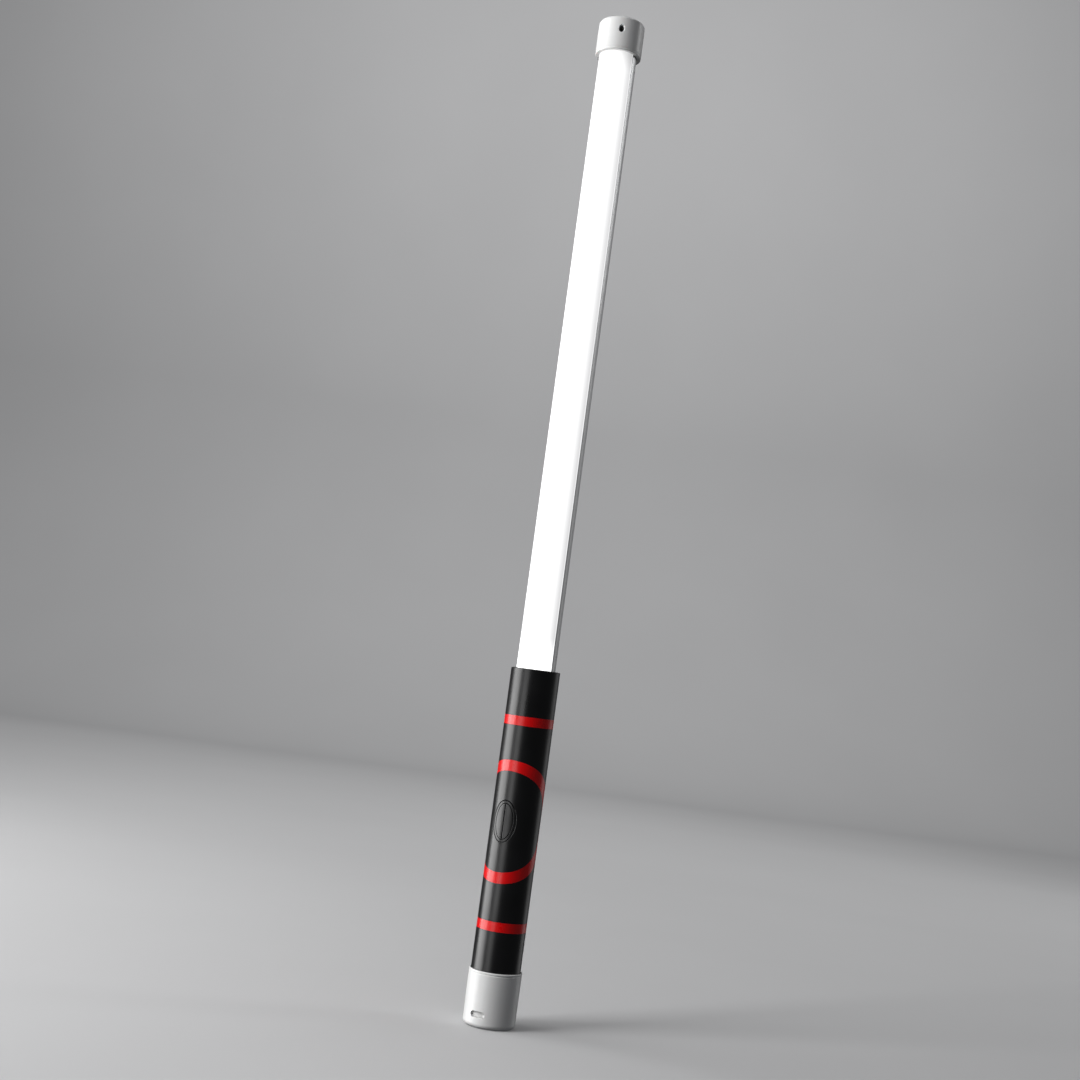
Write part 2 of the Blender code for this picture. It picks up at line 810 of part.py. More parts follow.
def charge_wires():
    """Pair of wires from the charging board up to the control board."""
    start_z = USB_BOARD_HIGH + GAP
    for name, x, colour in (
        ("wire_charge_plus", 3.0, (0.6, 0.02, 0.02)),
        ("wire_charge_minus", -3.0, (0.02, 0.02, 0.02)),
    ):
        path = [(x, -9.0, start_z), (x, -9.0, 60.0)]
        path += bend((x, -9.0, 92.0), (x, -9.0, 97.0), (x, -8.5, 101.0))
        path.append((x, -8.5, 106.0))
        wire(name, path, wire_jacket(name, colour))


def battery_wires():
    """Wires from the cell contacts to the control board."""
    start_z = POCKET_LOW + GAP + CONTACT_THICK + GAP
    path = [(0.0, -7.0, start_z), (0.0, -7.0, 60.0), (0.0, -7.0, BOARD_LOW - GAP)]
    wire("wire_battery_minus", path, wire_jacket("wire_battery_minus", (0.02, 0.02, 0.02)))
    path = [(0.0, CELL_Y, POCKET_HIGH), (0.0, CELL_Y, 160.0)]
    path += bend((0.0, CELL_Y, 161.0), (0.0, CELL_Y, 165.0), (0.0, 0.0, 165.0))
    path.append((0.0, BOARD_BACK_Y + GAP, 165.0))
    wire("wire_battery_plus", path, wire_jacket("wire_battery_plus", (0.6, 0.02, 0.02)))


def light_wires():
    """Pair of wires from the control board to the light board."""
    front = BOARD_FRONT_Y - GAP - WIRE_R
    rest = LED_BOARD_FRONT - GAP - WIRE_R
    for name, x, colour in (
        ("wire_light_plus", 2.4, (0.6, 0.02, 0.02)),
        ("wire_light_minus", -2.4, (0.02, 0.02, 0.02)),
    ):
        path = [(x, front, 168.0)]
        path += bend((x, front, 179.5), (x, front, 184.0), (x, -6.0, 188.0))
        path += bend((x, -5.0, 189.5), (x, rest, 194.0), (x, rest, 200.0))
        path.append((x, rest, 206.0))
        wire(name, path, wire_jacket(name, colour))


def tube_foot():
    """Plug that joins the lower end of the light tube to the grip."""
    thing = cylinder("tube_foot", FOOT_R, FOOT_LOW, FOOT_HIGH, grey_plastic("tube_foot"), ROUND)
    cut(thing, block("window_cutter", (-5.0, 5.0), (-9.8, -1.0), (FOOT_LOW - 2.0, FOOT_HIGH + 2.0)))
    for x in (-PORT_X, PORT_X):
        centre = (x, PORT_Y)
        cut(thing, cylinder("hole_cutter", LONG_HOLE_R, 180.0, 194.0, None, SMALL_ROUND, "Z", centre))
    return smooth(thing)


def foot_screws():
    """Two screws that hold the foot to the heat sink."""
    face = FOOT_LOW - GAP - SCREW_HEAD_HIGH
    screw("foot_screw_left", (-PORT_X, PORT_Y), face, 205.0, LONG_SHANK_R)
    screw("foot_screw_right", (PORT_X, PORT_Y), face, 205.0, LONG_SHANK_R)


def heat_sink():
    """Extruded back of the tube: slots for the diffuser, a land for the light board."""
    lip_y = on_circle(TUBE_R, DIFFUSER_EDGE)[1] + GAP
    lip_angle = math.degrees(math.acos(-lip_y / TUBE_R))
    slot_in = LEG_IN - GAP
    slot_out = LEG_OUT + GAP
    outline = arc(TUBE_R, lip_angle, 360.0 - lip_angle, SINK_STEPS)
    outline += [
        (-slot_out, lip_y),
        (-slot_out, SINK_FLOOR_Y),
        (-slot_in, SINK_FLOOR_Y),
        (-slot_in, lip_y),
        (-SINK_LIP_IN, lip_y),
        (-SINK_LIP_IN, 0.0),
        (SINK_LIP_IN, 0.0),
        (SINK_LIP_IN, lip_y),
        (slot_in, lip_y),
        (slot_in, SINK_FLOOR_Y),
        (slot_out, SINK_FLOOR_Y),
        (slot_out, lip_y),
    ]
    thing = prism("heat_sink", outline, TUBE_LOW, TUBE_HIGH, raw_aluminium("heat_sink"))
    inner = TUBE_R - SINK_WALL
    wall_angle = math.degrees(math.acos(-SINK_WALL / inner))
    hollow = arc(inner, wall_angle, 360.0 - wall_angle, SINK_STEPS - 4)
    cut(thing, prism("hollow_cutter", hollow, TUBE_LOW - 1.0, TUBE_HIGH + 1.0))
    for x in (-PORT_X, PORT_X):
        centre = (x, PORT_Y)
        add(thing, cylinder("port_part", PORT_R, TUBE_LOW, TUBE_HIGH, None, 16, "Z", centre))
        bore = cylinder("port_cutter", PORT_BORE, TUBE_LOW - 1.0, TUBE_HIGH + 1.0, None, 16, "Z", centre)
        cut(thing, bore)
    for angle in FIN_GROOVE_ANGLES:
        cut(thing, fin_groove(angle))
    return smooth(thing)


def fin_groove(angle):
    """Cutter for one cooling groove along the back."""
    half = math.degrees(FIN_GROOVE_WIDTH / 2.0 / TUBE_R)
    outline = [
        on_circle(TUBE_R - FIN_GROOVE_DEPTH, angle - half * 0.6),
        on_circle(TUBE_R + 1.0, angle - half),
        on_circle(TUBE_R + 1.0, angle + half),
        on_circle(TUBE_R - FIN_GROOVE_DEPTH, angle + half * 0.6),
    ]
    return prism("fin_cutter", outline, TUBE_LOW - 1.0, TUBE_HIGH + 1.0)


def diffuser():
    """Frosted front of the tube, with a leg along each edge that slides into the heat sink."""
    inner = TUBE_R - DIFFUSER_WALL
    edge_y = on_circle(TUBE_R, DIFFUSER_EDGE)[1]
    leg_angle = math.degrees(math.asin(LEG_IN / inner))
    outline = arc(TUBE_R, -DIFFUSER_EDGE, DIFFUSER_EDGE, DIFFUSER_STEPS)
    outline += [(LEG_OUT, edge_y), (LEG_OUT, LEG_END_Y), (LEG_IN, LEG_END_Y)]
    outline += arc(inner, leg_angle, -leg_angle, DIFFUSER_STEPS)
    outline += [(-LEG_IN, LEG_END_Y), (-LEG_OUT, LEG_END_Y), (-LEG_OUT, edge_y)]
    thing = prism("diffuser", outline, TUBE_LOW, TUBE_HIGH, frosted_plastic("diffuser"))
    return smooth(thing)


def led_board():
    """Strip board with its light emitters soldered along it."""
    x_span = (-LED_BOARD_HALF, LED_BOARD_HALF)
    y_span = (LED_BOARD_FRONT, LED_BOARD_BACK)
    material = white_laminate("led_board")
    thing = block("led_board", x_span, y_span, (LED_BOARD_LOW, LED_BOARD_HIGH), material)
    add(thing, emitters())
    return thing


def emitters():
    """Row of square packages that stand on the strip board."""
    points = []
    faces = []
    half = LED_SIZE / 2.0
    back = LED_BOARD_FRONT + 0.2
    front = LED_BOARD_FRONT - LED_HEIGHT
    for index in range(LED_COUNT):
        centre = LED_FIRST_Z + LED_PITCH * index
        first = len(points)
        for y in (back, front):
            points.append((-half, y, centre - half))
            points.append((half, y, centre - half))
            points.append((half, y, centre + half))
            points.append((-half, y, centre + half))
        faces.append([first, first + 1, first + 2, first + 3])
        faces.append([first + 4, first + 5, first + 6, first + 7])
        for side in range(4):
            after = (side + 1) % 4
            faces.append([first + side, first + after, first + 4 + after, first + 4 + side])
    return new_object("emitter_part", points, faces, None)


def top_plug():
    """Disc between the tube's upper end and the top cap."""
    thing = cylinder("top_plug", TOP_PLUG_R, TOP_PLUG_LOW, TOP_PLUG_HIGH, grey_plastic("top_plug"), ROUND)
    for x in (-PORT_X, PORT_X):
        centre = (x, PORT_Y)
        low = TOP_PLUG_LOW - 2.0
        high = TOP_PLUG_HIGH + 2.0
        cut(thing, cylinder("hole_cutter", LONG_HOLE_R, low, high, None, SMALL_ROUND, "Z", centre))
    return smooth(thing)


def top_cap():
    """White cup over the tube's upper end, with a cross hole to hang it by."""
    profile = []
    for step in range(4):
        angle = math.radians(90.0 * step / 3)
        across = TOP_CAP_R - TOP_CAP_BEAD + TOP_CAP_BEAD * math.sin(angle)
        profile.append((across, TOP_CAP_LOW + TOP_CAP_BEAD * (1.0 - math.cos(angle))))
    for step in range(5):
        angle = math.radians(90.0 * step / 4)
        across = TOP_CAP_R - TOP_CAP_EDGE + TOP_CAP_EDGE * math.cos(angle)
        profile.append((across, TOP_CAP_HIGH - TOP_CAP_EDGE * (1.0 - math.sin(angle))))
    profile += [
        (0.0, TOP_CAP_HIGH),
        (0.0, TOP_CAP_ROOF),
        (TOP_CAP_BORE, TOP_CAP_ROOF),
        (TOP_CAP_BORE, TOP_CAP_LOW),
    ]
    thing = lathe("top_cap", profile, white_plastic("top_cap"))
    cut(thing, hang_hole())
    for x in (-PORT_X, PORT_X):
        centre = (x, PORT_Y)
        low = TOP_CAP_HIGH - 2.2
        high = TOP_CAP_HIGH + 1.0
        cut(thing, cylinder("head_cutter", COUNTERBORE_R, low, high, None, SMALL_ROUND, "Z", centre))
        cut(thing, cylinder("shank_cutter", LONG_HOLE_R, 660.0, high, None, SMALL_ROUND, "Z", centre))
    return smooth(thing)


def hang_hole():
    """Cutter for the cross hole near the top."""
    outline = []
    for step in range(SMALL_ROUND):
        angle = 2.0 * math.pi * step / SMALL_ROUND
        up = HANG_HOLE_Z + HANG_HOLE_HALF_H * math.sin(angle)
        outline.append((HANG_HOLE_HALF_W * math.cos(angle), up))
    tool = prism("hang_cutter", outline, -20.0, 20.0, None, "Y")
    tool.rotation_euler[2] = math.radians(HANG_HOLE_ANGLE)
    return tool


def top_screws():
    """Two long screws that hold the top cap to the heat sink."""
    screw("top_screw_left", (-PORT_X, PORT_Y), TOP_CAP_HIGH - 0.5, 640.0, LONG_SHANK_R)
    screw("top_screw_right", (PORT_X, PORT_Y), TOP_CAP_HIGH - 0.5, 640.0, LONG_SHANK_R)


def base_parts():
    """Everything in the bottom cap."""
    bottom_cap()
    tripod_insert()
    base_screws()
    usb_board()
    usb_socket()
    usb_tongue()
    port_cover()


def grip_parts():
    """The grip and what shows on it."""
    grip_shell()
    stripe_ring("stripe_lower", STRIPE_LOWER_Z)
    stripe_circle()
    stripe_ring("stripe_upper", STRIPE_UPPER_Z)
    grip_collar()
    button_bezel()
    key("key_left", -1.0, -SWITCH_X)
    key("key_right", 1.0, SWITCH_X)


def inner_parts():
    """Switches, boards, cells and wires inside the grip."""
    plunger("plunger_left", -SWITCH_X)
    plunger("plunger_right", SWITCH_X)
    switch("switch_left", -SWITCH_X)
    switch("switch_right", SWITCH_X)
    control_board()
    driver_chip()
    inductor()
    capacitor("capacitor_lower", 156.0)
    capacitor("capacitor_upper", 161.0)
    battery_carrier()
    battery_cell("battery_cell_lower", CELL_LOWER_Z)
    battery_cell("battery_cell_upper", CELL_UPPER_Z)
    contact_lower()
    contact_upper()
    charge_wires()
    battery_wires()
    light_wires()


def tube_parts():
    """The lit tube and its two ends."""
    tube_foot()
    foot_screws()
    heat_sink()
    diffuser()
    led_board()
    top_plug()
    top_cap()
    top_screws()


def build():
    """Make every part of the light tube."""
    clear_scene()
    base_parts()
    grip_parts()
    inner_parts()
    tube_parts()


build()
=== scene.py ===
import math

import bmesh
import bpy
from mathutils import Matrix, Vector


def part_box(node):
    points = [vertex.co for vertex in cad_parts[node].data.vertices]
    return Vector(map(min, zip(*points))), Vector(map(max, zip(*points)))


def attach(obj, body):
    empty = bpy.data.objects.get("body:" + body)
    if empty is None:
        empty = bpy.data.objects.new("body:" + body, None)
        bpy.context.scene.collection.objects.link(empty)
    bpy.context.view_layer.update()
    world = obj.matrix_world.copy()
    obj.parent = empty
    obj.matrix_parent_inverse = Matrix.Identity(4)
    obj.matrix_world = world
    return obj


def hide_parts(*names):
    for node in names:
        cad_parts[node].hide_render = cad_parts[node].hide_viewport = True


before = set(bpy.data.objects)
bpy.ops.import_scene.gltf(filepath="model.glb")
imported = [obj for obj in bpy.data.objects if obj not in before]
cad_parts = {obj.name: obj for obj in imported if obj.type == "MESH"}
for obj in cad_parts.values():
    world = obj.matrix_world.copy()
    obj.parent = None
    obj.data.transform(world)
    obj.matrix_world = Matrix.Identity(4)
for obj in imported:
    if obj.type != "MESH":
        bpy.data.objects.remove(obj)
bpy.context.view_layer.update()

# Lengths are in millimetres until a mesh is made. Angles are in degrees from -Y towards +X.
# Ovals and slots are given by their half widths (W) and half heights (H).
MM = 0.001
STEPS = 192
GRIP_STEPS = 240
EDGE_STEPS = 5
FINE = 10.0
SHARP = math.radians(34.0)
UPRIGHT_LIMIT = 0.03
ROUND_LIMIT = 0.97
MITRE_LIMIT = 0.5

# Lit tube: the frosted front slides on two rails into the aluminium back.
TUBE_R = 12.7
TUBE_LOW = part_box("diffuser")[0].z / MM
TUBE_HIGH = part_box("diffuser")[1].z / MM
EDGE_ANGLE = 78.8
LIT_STRENGTH = 4.0
FRONT_WALL = 1.2
RAIL_OUT = 11.5
RAIL_IN = 10.7
RAIL_Y = -0.9
RAIL_STEP = 0.05
RAIL_TURN = 9.0
SINK_WALL = 1.6
SINK_GAP = 0.14
CHANNEL_OUT = 11.8
CHANNEL_IN = 10.4
CHANNEL_Y = -0.6
SHELF_X = 9.6
LIP_TURN = 0.8
LIP_ROLL = ((0.16, 0.15), (0.05, 0.4))

# Grooves along the back as (width, depth), and the shares of the half width at their edges.
SIDE_LINE = (0.42, 0.28)
SIDE_LINE_ANGLES = (96.5, 263.5)
COOLING_GROOVE = (1.2, 0.8)
COOLING_ANGLES = (135.0, 153.0, 171.0, 189.0, 207.0, 225.0)
GROOVE_MOUTH = 1.15
GROOVE_LIP_DROP = 0.06
GROOVE_BOTTOM = 0.6
PORT_X = 7.6
PORT_Y = 5.4
PORT_R = 2.7
PORT_BORE = 1.6

# Grip, its collar and the red inlays.
GRIP_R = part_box("grip_shell")[1].x / MM
GRIP_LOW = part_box("grip_shell")[0].z / MM
GRIP_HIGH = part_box("grip_shell")[1].z / MM
GRIP_IN = 14.0
GRIP_FOOT_EDGE = 0.3
GRIP_RIM_DROP = 0.34
MOUTH_R = 14.7
MOUTH_DEPTH = 6.4
COLLAR_IN = 12.85
COLLAR_OUT = 14.6
COLLAR_DEPTH = 6.0
COLLAR_DROP = 0.35
COLLAR_EDGE = 0.15
SEAM = 0.05
INLAY = 0.4
INLAY_EDGE = 0.04
SEAT_ROOM = 0.1
STRIPE_HALF = 3.0
LOWER_Z = (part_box("stripe_lower")[0].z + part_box("stripe_lower")[1].z) / 2.0 / MM
UPPER_Z = (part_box("stripe_upper")[0].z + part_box("stripe_upper")[1].z) / 2.0 / MM
CIRCLE_IN = 32.0
CIRCLE_OUT = 39.0

# Button: an opening in the grip, a frame and two half-oval keys.
BUTTON_Z = (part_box("stripe_circle")[0].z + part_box("stripe_circle")[1].z) / 2.0 / MM
HOLE_W = 7.75
HOLE_H = 13.2
HOLE_LIP = 0.5
HOLE_DROP = 0.3
HOLE_FLOOR = -8.0
BEZEL_W = 7.66
BEZEL_H = 13.11
BEZEL_IN_W = 6.22
BEZEL_IN_H = 11.52
BEZEL_EDGE = 0.22
BEZEL_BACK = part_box("button_bezel")[1].y / MM
KEY_W = 6.06
KEY_H = 11.36
KEY_EDGE = 0.3
KEY_EDGE_STEPS = 6
KEY_FLANGE_Y = -10.9
KEY_FLANGE_GROW = 0.8
KEY_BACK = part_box("key_left")[1].y / MM
SPLIT_HALF = 0.21

# Top cap and its hanging hole. The last 0.002 mm keeps it inside the CAD box.
CAP_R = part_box("top_cap")[1].x / MM
CAP_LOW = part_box("top_cap")[0].z / MM
CAP_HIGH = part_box("top_cap")[1].z / MM - 0.002
CAP_IN = 12.84
CAP_ROOF = 661.8
CAP_WALL = 1.2
CAP_GROOVE = 0.2
CAP_STOP = 2.0
CAP_FILLET = 1.7
HANG_Z = 657.9
HANG_W = 1.6
HANG_H = 2.35
HANG_EDGE = 0.5
HANG_FLOOR = -9.0
HANG_ANGLE = 28.5

# Bottom cap, its charging opening and the plug in it.
BASE_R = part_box("bottom_cap")[1].x / MM
BASE_LOW_R = 16.9
BASE_FILLET = 3.0
BASE_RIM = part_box("bottom_cap")[1].z / MM
BASE_GROOVE = 0.3
BASE_MOUTH_R = 16.32
BASE_LEDGE = 13.7
BASE_IN = 13.5
BASE_FLOOR = 4.0
BOSS_R = 7.2
BOSS_HIGH = 9.2
BOSS_BORE = 5.3
USB_Z = (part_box("port_cover")[0].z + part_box("port_cover")[1].z) / 2.0 / MM
SLOT_W = 4.9
SLOT_H = 1.9
SLOT_EDGE = 0.3
SLOT_FLOOR = -12.5
COVER_W = 4.82
COVER_H = 1.82
COVER_EDGE = 0.25
COVER_R = 15.3
COVER_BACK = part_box("port_cover")[1].y / MM

# Screws and the tripod insert.
BASE_SCREW_X = 10.8
BASE_HEAD_Z = 0.6
BASE_TIP_Z = 17.0
BASE_SHANK = 1.1
CAP_HEAD_DROP = 0.5
CAP_TIP_Z = 640.0
CAP_SHANK = 1.25
SEAT_R = 2.6
SEAT_MOUTH_R = 3.1
SEAT_LEAD = 0.25
BASE_SEAT = 2.4
CAP_SEAT = 2.2
HEAD_R = 2.3
HEAD_TALL = 1.4
SOCKET = ((-0.5, 1.75), (0.0, 1.35), (0.16, 1.15), (0.8, 1.12))
INSERT_R = 5.0
INSERT_FACE_R = 4.6
INSERT_EDGE = 0.25
THREAD_PITCH = 1.27
THREAD_R = 3.17
THREAD_DEPTH = 0.62
THREAD_FADE = 0.7


# ---------------------------------------------------------------- mesh making

def make(name, points, faces, body="tube", nodes=(), look=None, slot=None):
    """A piece in the row frame that rides on a body and stands for CAD nodes."""
    mesh = bpy.data.meshes.new(name)
    mesh.from_pydata([Vector(point) * MM for point in points], [], faces)
    tidy = bmesh.new()
    tidy.from_mesh(mesh)
    bmesh.ops.recalc_face_normals(tidy, faces=tidy.faces)
    tidy.to_mesh(mesh)
    tidy.free()
    piece = bpy.data.objects.new(name, mesh)
    bpy.context.scene.collection.objects.link(piece)
    if look is not None:
        mesh.materials.append(look)
    if body is not None:
        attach(piece, body)
    if nodes:
        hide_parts(*nodes)
    shade(piece)
    return piece


def shade(piece):
    """Smooth shading with real edges kept sharp."""
    piece.data.shade_smooth()
    piece.data.set_sharp_from_angle(angle=SHARP)


def cut(piece, *tools):
    """Take closed cutters out of a piece with exact booleans."""
    for tool in tools:
        modifier = piece.modifiers.new("cut", "BOOLEAN")
        modifier.object = tool
        modifier.operation = "DIFFERENCE"
        modifier.solver = "EXACT"
        graph = bpy.context.evaluated_depsgraph_get()
        result = bpy.data.meshes.new_from_object(piece.evaluated_get(graph))
        piece.modifiers.clear()
        piece.data = result
        bpy.data.objects.remove(tool)
    shade(piece)


def true_round(piece):
    """Give the upright round faces the exact normals of a turned surface."""
    mesh = piece.data
    normals = [Vector((0.0, 0.0, 0.0))] * len(mesh.loops)
    for face in mesh.polygons:
        if abs(face.normal.z) > UPRIGHT_LIMIT:
            continue
        middle = Vector((face.center.x, face.center.y, 0.0))
        if middle.length == 0.0 or middle.normalized().dot(face.normal) < ROUND_LIMIT:
            continue
        for index in face.loop_indices:
            spot = mesh.vertices[mesh.loops[index].vertex_index].co
            normals[index] = Vector((spot.x, spot.y, face.normal.z * spot.length)).normalized()
    mesh.normals_split_custom_set(normals)


def rounded(corners, fine=FINE):
    """Outline points with an arc at each (across, up, fillet) corner."""
    points = []
    count = len(corners)
    for index, (across, up, fillet) in enumerate(corners):
        here = Vector((across, up))
        if fillet == 0.0:
            points.append((across, up))
            continue
        before = (Vector(corners[index - 1][:2]) - here).normalized()
        after = (Vector(corners[(index + 1) % count][:2]) - here).normalized()
        turn = math.pi - before.angle(after)
        start = here + before * fillet * math.tan(turn / 2.0)
        middle = here + (before + after).normalized() * fillet / math.cos(turn / 2.0)
        arm = start - middle
        end = here + after * fillet * math.tan(turn / 2.0) - middle
        swing = math.atan2(arm.x * end.y - arm.y * end.x, arm.dot(end))
        steps = max(2, math.ceil(math.degrees(turn) / fine))
        for step in range(steps + 1):
            part = swing * step / steps
            x = arm.x * math.cos(part) - arm.y * math.sin(part)
            y = arm.x * math.sin(part) + arm.y * math.cos(part)
            points.append((middle.x + x, middle.y + y))
    return points


def turned(name, outline, centre=(0.0, 0.0), steps=STEPS, **how):
    """A closed (radius, height) outline turned about an upright axis."""
    points = []
    rings = []
    for radius, height in outline:
        if radius < 1e-6:
            points.append((centre[0], centre[1], height))
            rings.append([len(points) - 1] * steps)
            continue
        ring = []
        for step in range(steps):
            angle = 2.0 * math.pi * step / steps
            x = centre[0] + radius * math.sin(angle)
            y = centre[1] - radius * math.cos(angle)
            points.append((x, y, height))
            ring.append(len(points) - 1)
        rings.append(ring)
    faces = []
    for index, ring in enumerate(rings):
        following = rings[(index + 1) % len(rings)]
        for step in range(steps):
            after = (step + 1) % steps
            corners = [ring[step], ring[after], following[after], following[step]]
            corners = list(dict.fromkeys(corners))
            if len(corners) > 2:
                faces.append(corners)
    return make(name, points, faces, **how)


def lofted(name, rings, closed=False, **how):
    """Quads between rings of points; the ends are filled unless the loft closes on itself."""
    points = [point for ring in rings for point in ring]
    size = len(rings[0])
    faces = []
    last = len(rings) if closed else len(rings) - 1
    for index in range(last):
        near = index * size
        far = ((index + 1) % len(rings)) * size
        for step in range(size):
            after = (step + 1) % size
            faces.append([near + step, near + after, far + after, far + step])
    if not closed:
        faces.append(list(range(size)))
        faces.append(list(range((len(rings) - 1) * size, len(rings) * size)))
    return make(name, points, faces, **how)


def on_circle(radius, degrees):
    """Point on a circle round the tube's axis."""
    angle = math.radians(degrees)
    return (radius * math.sin(angle), -radius * math.cos(angle))


def arc(radius, first, last, steps):
    """Points along an arc, both ends included."""
    return [on_circle(radius, first + (last - first) * step / steps) for step in range(steps + 1)]


def oval(half_width, half_height, centre_z, count):
    """Closed ellipse as (x, z) points."""
    points = []
    for step in range(count):
        angle = 2.0 * math.pi * step / count
        points.append((half_width * math.cos(angle), centre_z + half_height * math.sin(angle)))
    return points


def stadium(half_width, half_height, centre_z, fine=20, straight_steps=10):
    """Closed slot outline as (x, z) points."""
    straight = half_width - half_height
    points = []
    for side, start in ((1.0, -90.0), (-1.0, 90.0)):
        for step in range(fine + 1):
            angle = math.radians(start + 180.0 * step / fine)
            x = side * straight + half_height * math.cos(angle)
            points.append((x, centre_z + half_height * math.sin(angle)))
        for step in range(1, straight_steps):
            x = side * straight * (1.0 - 2.0 * step / straight_steps)
            points.append((x, centre_z + side * half_height))
    return points


def grown(outline, distance):
    """The outline moved outward along its own normals."""
    count = len(outline)
    moved = []
    for index, (x, z) in enumerate(outline):
        before = Vector(outline[index - 1])
        after = Vector(outline[(index + 1) % count])
        here = Vector((x, z))
        first = (here - before).normalized()
        second = (after - here).normalized()
        side_a = Vector((first.y, -first.x))
        side_b = Vector((second.y, -second.x))
        way = (side_a + side_b).normalized()
        stretch = 1.0 / max(MITRE_LIMIT, way.dot(side_a))
        moved.append((x + way.x * distance * stretch, z + way.y * distance * stretch))
    return moved


def on_wall(outline, radius, drop):
    """(x, z) points laid on a round wall that faces -Y, drop below its surface."""
    return [(x, -math.sqrt(max(radius * radius - x * x, 0.0)) + drop, z) for x, z in outline]


def wall_cutter(outline, radius, lip, drop, floor_y, flat=False):
    """Cutter for an opening in a round wall, with a mouth that is rounded or flat.

    The mouth widens by lip over the last drop below the surface. The cutter ends in a flat
    face outside the wall, because a curved one would dip back into it.
    """
    above = 0.02
    rings = [[(x, floor_y, z) for x, z in outline]]
    for step in range(EDGE_STEPS + 1):
        angle = math.pi / 2.0 * step / EDGE_STEPS
        share = step / EDGE_STEPS
        widened = lip * (share if flat else 1.0 - math.cos(angle))
        below = drop * (1.0 - (share if flat else math.sin(angle)))
        rings.append(on_wall(grown(outline, widened), radius, below))
    widest = grown(outline, lip + above)
    rings.append(on_wall(widest, radius, -above))
    rings.append([(x, -radius - 1.0, z) for x, z in widest])
    return lofted("wall_cutter", rings, body=None)


def rolled_edge(outline, radius, edge, steps=EDGE_STEPS):
    """Rings of a rounded edge that rises onto a round wall; a negative edge rolls inward."""
    rings = []
    for step in range(steps + 1):
        angle = math.pi / 2.0 * step / steps
        shift = edge * (1.0 - math.cos(angle))
        drop = abs(edge) * (1.0 - math.sin(angle))
        rings.append(on_wall(grown(outline, shift), radius, drop))
    return rings


def wrapped_ring(name, inner, outer, low, high, steps=220, bands=14, **how):
    """A flat ring wrapped round the grip, centred on the button."""
    section = []
    for band in range(bands + 1):
        section.append((inner + (outer - inner) * band / bands, high))
    for band in range(bands + 1):
        section.append((outer + (inner - outer) * band / bands, low))
    rings = []
    for reach, radius in section:
        ring = []
        for step in range(steps):
            turn = 2.0 * math.pi * step / steps
            around = reach * math.cos(turn) / GRIP_R
            height = BUTTON_Z + reach * math.sin(turn)
            ring.append((radius * math.sin(around), -radius * math.cos(around), height))
        rings.append(ring)
    return lofted(name, rings, closed=True, **how)


def bar(name, outline, low, high, **how):
    """An (x, y) outline pushed up along Z."""
    rings = []
    for height in (low, high):
        rings.append([(x, y, height) for x, y in outline])
    return lofted(name, rings, **how)


# ------------------------------------------------------------------ materials

def new_look(name):
    """A material with its node tree and Principled shader."""
    look = bpy.data.materials.new(name)
    look.use_nodes = True
    return look, look.node_tree, look.node_tree.nodes["Principled BSDF"]


def place(tree, scale=(1.0, 1.0, 1.0)):
    """Object coordinates in metres, stretched by scale."""
    where = tree.nodes.new("ShaderNodeTexCoord")
    stretch = tree.nodes.new("ShaderNodeMapping")
    stretch.inputs["Scale"].default_value = scale
    tree.links.new(where.outputs["Object"], stretch.inputs["Vector"])
    return stretch.outputs["Vector"]


def noise(tree, vector, scale, detail=3.0, rough=0.5, twist=0.0):
    """Noise value on a vector."""
    node = tree.nodes.new("ShaderNodeTexNoise")
    node.inputs["Scale"].default_value = scale
    node.inputs["Detail"].default_value = detail
    node.inputs["Roughness"].default_value = rough
    node.inputs["Distortion"].default_value = twist
    tree.links.new(vector, node.inputs["Vector"])
    return node.outputs["Fac"]


def spread(tree, value, low, high, start=0.0, end=1.0):
    """Map a value's start..end onto low..high."""
    node = tree.nodes.new("ShaderNodeMapRange")
    node.inputs["From Min"].default_value = start
    node.inputs["From Max"].default_value = end
    node.inputs["To Min"].default_value = low
    node.inputs["To Max"].default_value = high
    tree.links.new(value, node.inputs["Value"])
    return node.outputs["Result"]


def combine(tree, kind, first, second):
    """Arithmetic on two values; either may be a plain number."""
    node = tree.nodes.new("ShaderNodeMath")
    node.operation = kind
    for index, value in enumerate((first, second)):
        if isinstance(value, (int, float)):
            node.inputs[index].default_value = value
        else:
            tree.links.new(value, node.inputs[index])
    return node.outputs["Value"]


def ramp(tree, value, stops):
    """Colour ramp from (position, colour) stops."""
    node = tree.nodes.new("ShaderNodeValToRGB")
    elements = node.color_ramp.elements
    while len(elements) < len(stops):
        elements.new(0.5)
    for element, (spot, colour) in zip(elements, stops):
        element.position = spot
        element.color = (*colour, 1.0)
    tree.links.new(value, node.inputs["Fac"])
    return node.outputs["Color"]


def relief(tree, shader, height, distance, strength=1.0, before=None):
    """Bump from a height value; returns the normal so that more can follow."""
    node = tree.nodes.new("ShaderNodeBump")
    node.inputs["Strength"].default_value = strength
    node.inputs["Distance"].default_value = distance
    tree.links.new(height, node.inputs["Height"])
    if before is not None:
        tree.links.new(before, node.inputs["Normal"])
    tree.links.new(node.outputs["Normal"], shader.inputs["Normal"])
    return node.outputs["Normal"]


def blend(tree, first, second, share):
    """Weighted sum of two values; the first one's weight is share."""
    return combine(
        tree,
        "ADD",
        combine(tree, "MULTIPLY", first, share),
        combine(tree, "MULTIPLY", second, 1.0 - share),
    )


def tint(tree, shader, value, first, second, start=0.3, end=0.7):
    """Base colour that goes from first to second as a value goes from start to end."""
    stops = ((start, first), (end, second))
    tree.links.new(ramp(tree, value, stops), shader.inputs["Base Color"])


def roughen(tree, shader, value, low, high, start=0.3, end=0.7):
    """Roughness that goes from low to high as a value goes from start to end."""
    tree.links.new(spread(tree, value, low, high, start, end), shader.inputs["Roughness"])


